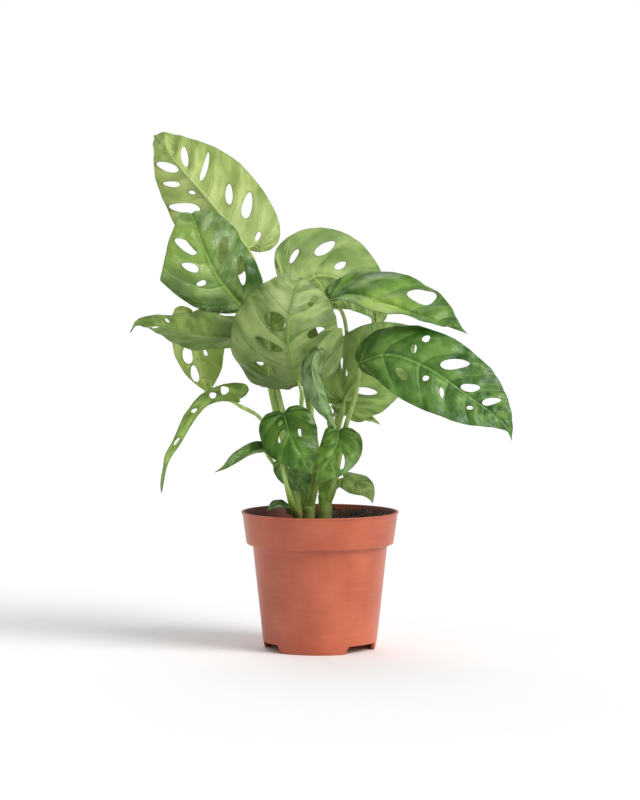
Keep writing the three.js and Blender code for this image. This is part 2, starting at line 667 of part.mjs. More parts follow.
// A closed round tube along points that tapers from one radius to the other.
function taperedTube(points, fromRadius, toRadius) {
  const curve = new THREE.CatmullRomCurve3(points, false, 'centripetal');
  const steps = Math.max(4, Math.round(curve.getLength() / PETIOLE.stepLength));
  const sides = PETIOLE.sides;
  const positions = [];
  const triangles = [];
  let up = new THREE.Vector3(0, -1, 0);
  let last = null;
  for (let i = 0; i <= steps; i++) {
    const t = i / steps;
    const along = curve.getTangentAt(t);
    if (last) {
      const turn = new THREE.Quaternion().setFromUnitVectors(last, along);
      up = up.clone().applyQuaternion(turn);
    }
    up = up.clone().addScaledVector(along, -up.dot(along)).normalize();
    last = along;
    const out = along.clone().cross(up);
    const centre = curve.getPointAt(t);
    const radius = toRadius + (fromRadius - toRadius) * (1 - t) ** 1.2;
    for (let k = 0; k < sides; k++) {
      const turn = (k / sides) * Math.PI * 2;
      const p = centre.clone()
        .addScaledVector(up, Math.cos(turn) * radius)
        .addScaledVector(out, Math.sin(turn) * radius);
      positions.push(p.x, p.y, p.z);
    }
  }
  for (let i = 0; i < steps; i++) {
    for (let k = 0; k < sides; k++) {
      const a = i * sides + k;
      const b = i * sides + ((k + 1) % sides);
      triangles.push(a, b, a + sides, b, b + sides, a + sides);
    }
  }
  for (let k = 1; k < sides - 1; k++) {
    triangles.push(0, k + 1, k);
    const end = steps * sides;
    triangles.push(end, end + k, end + k + 1);
  }
  const geometry = new THREE.BufferGeometry();
  geometry.setAttribute('position', new THREE.Float32BufferAttribute(positions, 3));
  geometry.setIndex(triangles);
  return solidOf(geometry);
}

function makeShoot(shoot) {
  const [x, y, radius, top] = shoot.cane;
  let solid = post(x, y, radius, SOIL.top - SOIL.socketDepth + GAP, top, CANE.sides);
  for (const petiole of shoot.petioles) {
    const joint = jointOf(LEAVES.find((leaf) => leaf.name === petiole.leaf));
    const before = joint.end.clone().addScaledVector(joint.heading, -PETIOLE.straightEnd);
    const base = new THREE.Vector3(x, y, top - CANE.petioleStart);
    const points = [base, ...petiole.path.map(vectorOf), before, joint.end];
    solid = solid.add(taperedTube(points, petiole.radius, PETIOLE.endRadius));
  }
  return pieceOf(shoot.name, geometryOf(solid), MATERIALS.stem);
}

// ---------------------------------------------------------------- soil

function soilHeight(x, y) {
  const broad = Math.sin(x * 0.37 + 1.3) * Math.cos(y * 0.31 - 0.7);
  const fine = 0.7 * Math.sin(x * 0.83 - y * 0.71) + 0.5 * Math.cos(x * 1.3 + y * 1.1 + 2);
  return SOIL.top + SOIL.lump * (broad + fine);
}

// The root ball: it fills the pot up to a lumpy top, with a plain round socket for each cane.
function makeSoil() {
  const p = POT;
  const bandLow = p.height - p.bandHeight;
  const floor = p.footHeight + p.wall + GAP;
  const inner = (radius) => radius - p.wall - 4 * GAP;
  const bandShare = (SOIL.top - bandLow) / (p.bandHeight - p.lip);
  const topRadius = inner(THREE.MathUtils.lerp(p.bandFoot, p.bandTop, bandShare));
  const levels = [
    [inner(p.bodyFoot) - 1.2, floor],
    [inner(p.bodyFoot), floor + 1.2],
    [inner(p.bodyTop), bandLow - 0.8],
    [inner(p.bandFoot), bandLow + p.wall + 1],
  ];
  const sectors = SOIL.sectors;
  const positions = [];
  const triangles = [];
  const ring = (radius, height) => {
    for (let k = 0; k < sectors; k++) {
      const turn = (k / sectors) * Math.PI * 2;
      const x = radius * Math.cos(turn);
      const y = radius * Math.sin(turn);
      positions.push(x, y, height(x, y));
    }
  };
  positions.push(0, 0, floor);
  for (const [radius, height] of levels) ring(radius, () => height);
  for (let i = 0; i < SOIL.rings; i++) ring(topRadius * (1 - i / SOIL.rings), soilHeight);
  positions.push(0, 0, soilHeight(0, 0));
  const rings = levels.length + SOIL.rings;
  for (let k = 0; k < sectors; k++) {
    const next = (k + 1) % sectors;
    triangles.push(0, 1 + next, 1 + k);
    for (let i = 0; i < rings - 1; i++) {
      const a = 1 + i * sectors;
      triangles.push(a + k, a + next, a + sectors + k, a + next, a + sectors + next, a + sectors + k);
    }
    const lastRing = 1 + (rings - 1) * sectors;
    triangles.push(lastRing + k, lastRing + next, positions.length / 3 - 1);
  }
  const geometry = new THREE.BufferGeometry();
  geometry.setAttribute('position', new THREE.Float32BufferAttribute(positions, 3));
  geometry.setIndex(triangles);
  let solid = solidOf(geometry);
  for (const shoot of SHOOTS) {
    const [x, y, radius] = shoot.cane;
    const floorOfSocket = SOIL.top - SOIL.socketDepth;
    solid = solid.subtract(post(x, y, radius + 2 * GAP, floorOfSocket, SOIL.top + 10, CANE.sides + 2));
  }
  return pieceOf('soil', geometryOf(solid), MATERIALS.soil);
}

// ---------------------------------------------------------------- assembly

const plant = new THREE.Group();
plant.add(makePot(), makeSoil());
for (const shoot of SHOOTS) plant.add(makeShoot(shoot));
for (const leaf of LEAVES) plant.add(makeBlade(leaf));

export default plant;
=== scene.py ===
import math

import bmesh
import bpy
import numpy as np
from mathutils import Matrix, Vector, noise
from mathutils.geometry import delaunay_2d_cdt


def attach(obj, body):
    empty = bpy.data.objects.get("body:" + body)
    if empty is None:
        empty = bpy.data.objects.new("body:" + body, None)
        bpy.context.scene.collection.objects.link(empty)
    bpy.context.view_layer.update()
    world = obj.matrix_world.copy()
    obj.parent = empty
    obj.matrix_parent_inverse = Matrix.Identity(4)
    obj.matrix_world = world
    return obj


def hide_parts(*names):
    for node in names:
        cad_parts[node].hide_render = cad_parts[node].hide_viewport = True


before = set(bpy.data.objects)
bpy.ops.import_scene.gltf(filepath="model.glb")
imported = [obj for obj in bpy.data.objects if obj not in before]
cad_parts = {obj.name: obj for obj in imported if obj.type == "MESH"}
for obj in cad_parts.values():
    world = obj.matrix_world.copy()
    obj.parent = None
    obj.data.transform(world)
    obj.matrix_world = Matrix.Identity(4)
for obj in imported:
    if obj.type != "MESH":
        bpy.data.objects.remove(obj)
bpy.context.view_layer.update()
mm = 0.001  # sizes and places are in millimetres, unless a note says metres


def addNode(tree, kind, inputs=None, **settings):
    node = tree.nodes.new(kind)
    for key, value in settings.items():
        setattr(node, key, value)
    for key, value in (inputs or {}).items():
        if isinstance(value, bpy.types.NodeSocket):
            tree.links.new(value, node.inputs[key])
        else:
            node.inputs[key].default_value = value
    return node


def mathNode(tree, operation, a, b=0.0, c=0.0):
    return addNode(tree, "ShaderNodeMath", {0: a, 1: b, 2: c}, operation=operation).outputs[0]


def vectorNode(tree, operation, a, b=(0, 0, 0), out=0):
    return addNode(tree, "ShaderNodeVectorMath", {0: a, 1: b}, operation=operation).outputs[out]


def rangeNode(tree, value, low, high, toLow=0.0, toHigh=1.0):
    inputs = {"Value": value, "From Min": low, "From Max": high, "To Min": toLow, "To Max": toHigh}
    return addNode(tree, "ShaderNodeMapRange", inputs, interpolation_type="SMOOTHSTEP").outputs["Result"]


def mixNode(tree, factor, a, b):
    return addNode(tree, "ShaderNodeMix", {0: factor, 6: a, 7: b}, data_type="RGBA").outputs[2]


# lays a colour over the body where the mask is, as strong as the share says
def tint(tree, body, mask, share, colour):
    return mixNode(tree, mathNode(tree, "MULTIPLY", mask, share), body, colour)


# the start value and all the others, each times its own share
def sumOf(tree, start, parts):
    for value, share in parts:
        start = mathNode(tree, "MULTIPLY_ADD", value, share, start)
    return start


def distanceFromAxis(tree, place):
    return vectorNode(tree, "LENGTH", vectorNode(tree, "MULTIPLY", place, (1, 1, 0)), out=1)


def srgb(red, green, blue):
    def linear(value):
        value /= 255
        return value / 12.92 if value <= 0.04045 else ((value + 0.055) / 1.055) ** 2.4
    return (linear(red), linear(green), linear(blue), 1.0)


def newGroup(name, kind, inputs, outputs):
    group = bpy.data.node_groups.new(name, kind)
    for label, socketKind, value in inputs:
        socket = group.interface.new_socket(name=label, in_out="INPUT", socket_type=socketKind)
        if value is not None:
            socket.default_value = value
    for label, socketKind in outputs:
        group.interface.new_socket(name=label, in_out="OUTPUT", socket_type=socketKind)
    start = group.nodes.new("NodeGroupInput")
    end = group.nodes.new("NodeGroupOutput")
    return group, start.outputs, end.inputs


def useGroup(tree, group, **inputs):
    return addNode(tree, "ShaderNodeGroup", inputs, node_tree=group).outputs


def newShapeTree(name, inputs):
    return newGroup(name, "GeometryNodeTree", inputs, [("Geometry", "NodeSocketGeometry")])


def newMaterial(name):
    material = bpy.data.materials.new(name)
    material.use_nodes = True
    tree = material.node_tree
    return material, tree, tree.nodes["Principled BSDF"].inputs


# joins a colour, a roughness and a bumpy height to a material's shader
def joinSurface(tree, shader, body, rough, height, strength, depth):
    tree.links.new(body, shader["Base Color"])
    tree.links.new(rough, shader["Roughness"])
    bump = addNode(tree, "ShaderNodeBump", {"Height": height, "Strength": strength, "Distance": depth * mm})
    tree.links.new(bump.outputs["Normal"], shader["Normal"])


def addPiece(name, mesh):
    piece = bpy.data.objects.new(name, mesh)
    bpy.context.collection.objects.link(piece)
    return piece


# Clouds of two sizes and tiny specks; the sizes are noise scales, to the metre.
def makeMottle():
    inputs = [("Broad", "NodeSocketFloat", 60.0), ("Fine", "NodeSocketFloat", 400.0)]
    outputs = [(label, "NodeSocketFloat") for label in ("Broad", "Fine", "Specks")]
    group, given, result = newGroup("mottle", "ShaderNodeTree", inputs, outputs)
    where = addNode(group, "ShaderNodeTexCoord").outputs["Object"]
    broad = addNode(group, "ShaderNodeTexNoise", {"Vector": where, "Scale": given["Broad"], "Detail": 3.0})
    fine = addNode(group, "ShaderNodeTexNoise", {"Vector": where, "Scale": given["Fine"], "Detail": 4.0})
    specks = addNode(group, "ShaderNodeTexVoronoi", {"Vector": where, "Scale": given["Fine"]})
    link = group.links.new
    link(broad.outputs["Fac"], result["Broad"])
    link(fine.outputs["Fac"], result["Fine"])
    link(rangeNode(group, specks.outputs["Distance"], 0.12, 0.05), result["Specks"])
    return group


veinPattern = {
    "wobbleScale": 90.0,
    "wobble": 0.12,  # how far a side vein strays, as a share of the step to the next one
    "tipWidth": 0.35,  # width of a side vein at the edge, as a share of its width at the midrib
    "tipStrength": 0.2,
    "minorStrength": 0.4,  # the thinner vein half way between two side veins
    "streakScale": 2.1,
    "netScale": 330.0,
    "netWidth": 0.09,
    "ribReach": 0.045,  # half width of the midrib, as a share of the way to the edge
    "shadeReach": 0.15,  # the same for the shade beside it
}


# The veins of a blade: its UV map counts side veins along U, and V runs from edge to edge.
def makeVeins():
    look = veinPattern
    labels = ("Veins", "Streaks", "Net", "Swell", "Pleat", "Rib", "RibShade")
    group, given, result = newGroup("bladeVeins", "ShaderNodeTree", [("Width", "NodeSocketFloat", 0.06)],
                                    [(label, "NodeSocketFloat") for label in labels])
    places = addNode(group, "ShaderNodeUVMap", uv_map="UVMap").outputs[0]
    where = addNode(group, "ShaderNodeTexCoord").outputs["Object"]
    along, across, _ = addNode(group, "ShaderNodeSeparateXYZ", {0: places}).outputs
    reach = mathNode(group, "ABSOLUTE", mathNode(group, "MULTIPLY_ADD", across, 2.0, -1.0))

    # places across the strip between two side veins: 0 and 1 lie on the veins
    stray = addNode(group, "ShaderNodeTexNoise", {"Scale": look["wobbleScale"], "Vector": where})
    straight = mathNode(group, "SUBTRACT", along, look["wobble"] / 2)
    bent = mathNode(group, "MULTIPLY_ADD", stray.outputs["Fac"], look["wobble"], straight)
    cell = mathNode(group, "FRACT", bent)
    toHalf = mathNode(group, "ABSOLUTE", mathNode(group, "SUBTRACT", cell, 0.5))
    toMain = mathNode(group, "SUBTRACT", 0.5, toHalf)

    narrowing = rangeNode(group, reach, 0.0, 1.0, 1.0, look["tipWidth"])
    thin = mathNode(group, "MULTIPLY", given["Width"], narrowing)
    main = rangeNode(group, mathNode(group, "DIVIDE", toMain, thin), 1.0, 0.2)
    fading = rangeNode(group, reach, 1.0, 0.3, look["tipStrength"], 1.0)
    main = mathNode(group, "MULTIPLY", main, fading)
    minor = rangeNode(group, mathNode(group, "DIVIDE", toHalf, thin), 0.6, 0.1)
    fading = rangeNode(group, reach, 0.75, 0.1, 0.0, look["minorStrength"])
    minor = mathNode(group, "MULTIPLY", minor, fading)

    stretched = addNode(group, "ShaderNodeMapping", {"Vector": places, "Scale": (1.0, 1.5, 1.0)}).outputs[0]
    streakInputs = {"Vector": stretched, "Scale": look["streakScale"], "Detail": 2.0}
    streaks = addNode(group, "ShaderNodeTexNoise", streakInputs)
    cells = addNode(group, "ShaderNodeTexVoronoi", {"Vector": where, "Scale": look["netScale"]},
                    feature="DISTANCE_TO_EDGE")
    rib = rangeNode(group, reach, look["ribReach"], 0.02)
    shade = rangeNode(group, reach, look["shadeReach"], 0.05)
    link = group.links.new
    link(mathNode(group, "MAXIMUM", main, minor), result["Veins"])
    link(streaks.outputs["Fac"], result["Streaks"])
    link(rangeNode(group, cells.outputs["Distance"], look["netWidth"], 0.0), result["Net"])
    # Swell: lighter in the middle of each strip and darker at the side veins, used as painted shade in the
    # creases
    link(mathNode(group, "SINE", mathNode(group, "MULTIPLY", cell, math.pi)), result["Swell"])
    # Pleat: painted light and shade across each strip, darker at one side vein and lighter towards the next,
    # as light from one side falls on the quilting
    link(mathNode(group, "MULTIPLY", cell, rangeNode(group, reach, 1.0, 0.6)), result["Pleat"])
    link(rib, result["Rib"])
    link(mathNode(group, "SUBTRACT", shade, rib), result["RibShade"])
    return group


mottle = makeMottle()
bladeVeins = makeVeins()
print("shared effects made")


# dark and light: the two ends of the clouded body colour; rib: the midrib and the veins
# crumple: height of the dents, and how strongly the dents are painted with shade
leafFinishes = {
    "glossUpper": {
        "dark": (34, 80, 14), "light": (112, 152, 68), "rib": (120, 160, 76),
        "rough": 0.34, "crumple": 5.0},
    "yellowedUpper": {
        "dark": (50, 94, 16), "light": (120, 158, 64), "rib": (128, 166, 82),
        "rough": 0.35, "crumple": 5.6},
    "twoToneUpper": {
        "dark": (58, 98, 32), "light": (138, 166, 94), "rib": (128, 170, 64),
        "rough": 0.33, "crumple": 5.0},
    "deepUpper": {
        "dark": (38, 78, 12), "light": (98, 138, 46), "rib": (112, 156, 62),
        "rough": 0.34, "crumple": 3.0},
    "greyUpper": {
        "dark": (72, 98, 52), "light": (142, 158, 118), "rib": (150, 168, 116),
        "rough": 0.42, "crumple": 3.2},
    "freshUpper": {
        "dark": (100, 144, 30), "light": (160, 194, 70), "rib": (160, 190, 84),
        "rough": 0.38, "crumple": 2.0},
    "blueUpper": {
        "dark": (44, 78, 28), "light": (136, 166, 106), "rib": (150, 178, 118),
        "rough": 0.36, "crumple": 4.4},
    "paleUnder": {
        "dark": (134, 160, 76), "light": (192, 210, 126), "rib": (196, 212, 134),
        "rough": 0.52, "crumple": 1.4},
    "clearUnder": {
        "dark": (88, 120, 46), "light": (168, 192, 110), "rib": (150, 176, 92),
        "rough": 0.5, "crumple": 2.0},
    "greyUnder": {
        "dark": (80, 108, 44), "light": (158, 180, 106), "rib": (114, 148, 58),
        "rough": 0.5, "crumple": 2.2},
    "oliveUnder": {
        "dark": (84, 114, 38), "light": (152, 182, 92), "rib": (140, 162, 84),
        "rough": 0.5, "crumple": 2.4},
    "freshUnder": {
        "dark": (142, 174, 74), "light": (200, 220, 128), "rib": (182, 204, 116),
        "rough": 0.5, "crumple": 1.4},
}

# places painted lighter or darker as light and shade, and a brown tip of the leaf's own colour: centre and
# radius in metres, colour, strength
leafStainsAndPaintedLight = {
    "glossUpper": [((-0.006, -0.054, 0.138), 0.004, (122, 92, 52), 0.8),
                   ((0.034, -0.027, 0.233), 0.02, (46, 88, 22), 0.6)],
    "yellowedUpper": [((0.048, -0.03, 0.262), 0.018, (168, 200, 84), 0.75)],
    "twoToneUpper": [((-0.108, -0.02, 0.3), 0.034, (138, 168, 72), 0.7),
                     ((-0.11, -0.03, 0.274), 0.017, (74, 102, 44), 0.85),
                     ((-0.05, -0.004, 0.284), 0.013, (46, 84, 26), 0.85),
                     ((-0.075, -0.015, 0.262), 0.011, (84, 112, 66), 0.5)],
    "paleUnder": [((-0.052, 0.03, 0.324), 0.022, (188, 208, 132), 0.6)],
    "greyUnder": [((-0.031, -0.029, 0.209), 0.02, (84, 108, 58), 0.5),
                  ((-0.027, -0.048, 0.268), 0.013, (176, 194, 134), 0.5)],
    "oliveUnder": [((-0.067, -0.015, 0.243), 0.016, (86, 112, 56), 0.6)],
}

leafSurface = {
    "veinWidth": 0.06,
    "cloudScale": 24.0,
    "grainScale": 420.0,
    "crumpleScale": 85.0,
    "darkest": -0.2,  # tone of the body colour, to which the shares below add up
    "streakTone": 0.5,
    # crumpleShadeTone, swellShadeTone and pleatShadeTone are painted shade and light of the relief: dents,
    # creases at the side veins and pleats darker, their crests lighter
    "cloudTone": 0.3,
    "crumpleShadeTone": 0.2,
    "swellShadeTone": 0.12,
    "pleatShadeTone": 0.42,
    "grainTone": 0.12,
    "netTint": 0.05,
    "veinTint": 0.3,
    "shadeTint": 0.4,
    "ribTint": 0.8,
    "edgeTint": 0.65,
    "dryTone": (70, 74, 48),
    "roughSpread": 0.16,
    "grainHeight": 0.05,
    "streakHeight": 2.4,
    "netHeight": -0.08,
    "veinHeight": -0.7,
    "bump": 0.7,
    "bumpDepth": 0.9,
    "specular": 0.36,
}


def makeLeafFinish(name, look):
    material, tree, shader = newMaterial(name)
    surface = leafSurface
    veins = useGroup(tree, bladeVeins, Width=surface["veinWidth"])
    cloud = useGroup(tree, mottle, Broad=surface["cloudScale"], Fine=surface["grainScale"])
    edge = addNode(tree, "ShaderNodeAttribute", attribute_name="edge").outputs["Fac"]
    where = addNode(tree, "ShaderNodeTexCoord").outputs["Object"]
    crumpleInputs = {"Vector": where, "Scale": surface["crumpleScale"], "Detail": 1.0}
    crumple = addNode(tree, "ShaderNodeTexNoise", crumpleInputs).outputs["Fac"]
    dark, light, rib = (srgb(*look[key]) for key in ("dark", "light", "rib"))

    # The tone is partly painted light and shade. Clouds and grain are the blade's own colour. The dents, the
    # swell and the pleats lighten and darken it where light on the relief would. The streaks are partly the
    # blade's own tone and partly painted shade of the undulations along the side veins.
    tone = sumOf(tree, surface["darkest"], [
        (rangeNode(tree, veins["Streaks"], 0.36, 0.64), surface["streakTone"]),
        (rangeNode(tree, cloud["Broad"], 0.3, 0.7), surface["cloudTone"]),
        (mathNode(tree, "SUBTRACT", crumple, 0.5), surface["crumpleShadeTone"] * look["crumple"]),
        (veins["Swell"], surface["swellShadeTone"]),
        (veins["Pleat"], surface["pleatShadeTone"]),
        (cloud["Fine"], surface["grainTone"])])
    tone.node.use_clamp = True
    body = mixNode(tree, tone, dark, light)
    # painted light and shade in soft patches, and the brown leaf tip
    for centre, radius, colour, strength in leafStainsAndPaintedLight.get(name, ()):
        away = vectorNode(tree, "DISTANCE", where, centre, out=1)
        ragged = mathNode(tree, "MULTIPLY_ADD", cloud["Broad"], radius * 1.4, away)
        body = tint(tree, body, rangeNode(tree, ragged, radius * 2.0, radius * 1.1), strength, srgb(*colour))
    body = tint(tree, body, veins["Net"], surface["netTint"], rib)
    body = tint(tree, body, veins["Veins"], surface["veinTint"], rib)
    # painted shade along both sides of the midrib, where it lies in its groove
    body = tint(tree, body, veins["RibShade"], surface["shadeTint"], dark)
    body = tint(tree, body, veins["Rib"], surface["ribTint"], rib)
    dry = mixNode(tree, 0.5, dark, srgb(*surface["dryTone"]))
    body = tint(tree, body, rangeNode(tree, edge, 0.4, 0.0), surface["edgeTint"], dry)

    spread = surface["roughSpread"]
    rough = mathNode(tree, "MULTIPLY_ADD", cloud["Fine"], spread, look["rough"] - spread / 2)
    relief = sumOf(tree, 0.0, [
        (cloud["Fine"], surface["grainHeight"]), (veins["Streaks"], surface["streakHeight"]),
        (veins["Net"], surface["netHeight"]), (crumple, look["crumple"]),
        (veins["Veins"], surface["veinHeight"])])
    joinSurface(tree, shader, body, rough, relief, surface["bump"], surface["bumpDepth"])
    shader["Specular IOR Level"].default_value = surface["specular"]
    return material


leafMaterials = {name: makeLeafFinish(name, look) for name, look in leafFinishes.items()}
print("leaf finishes made")


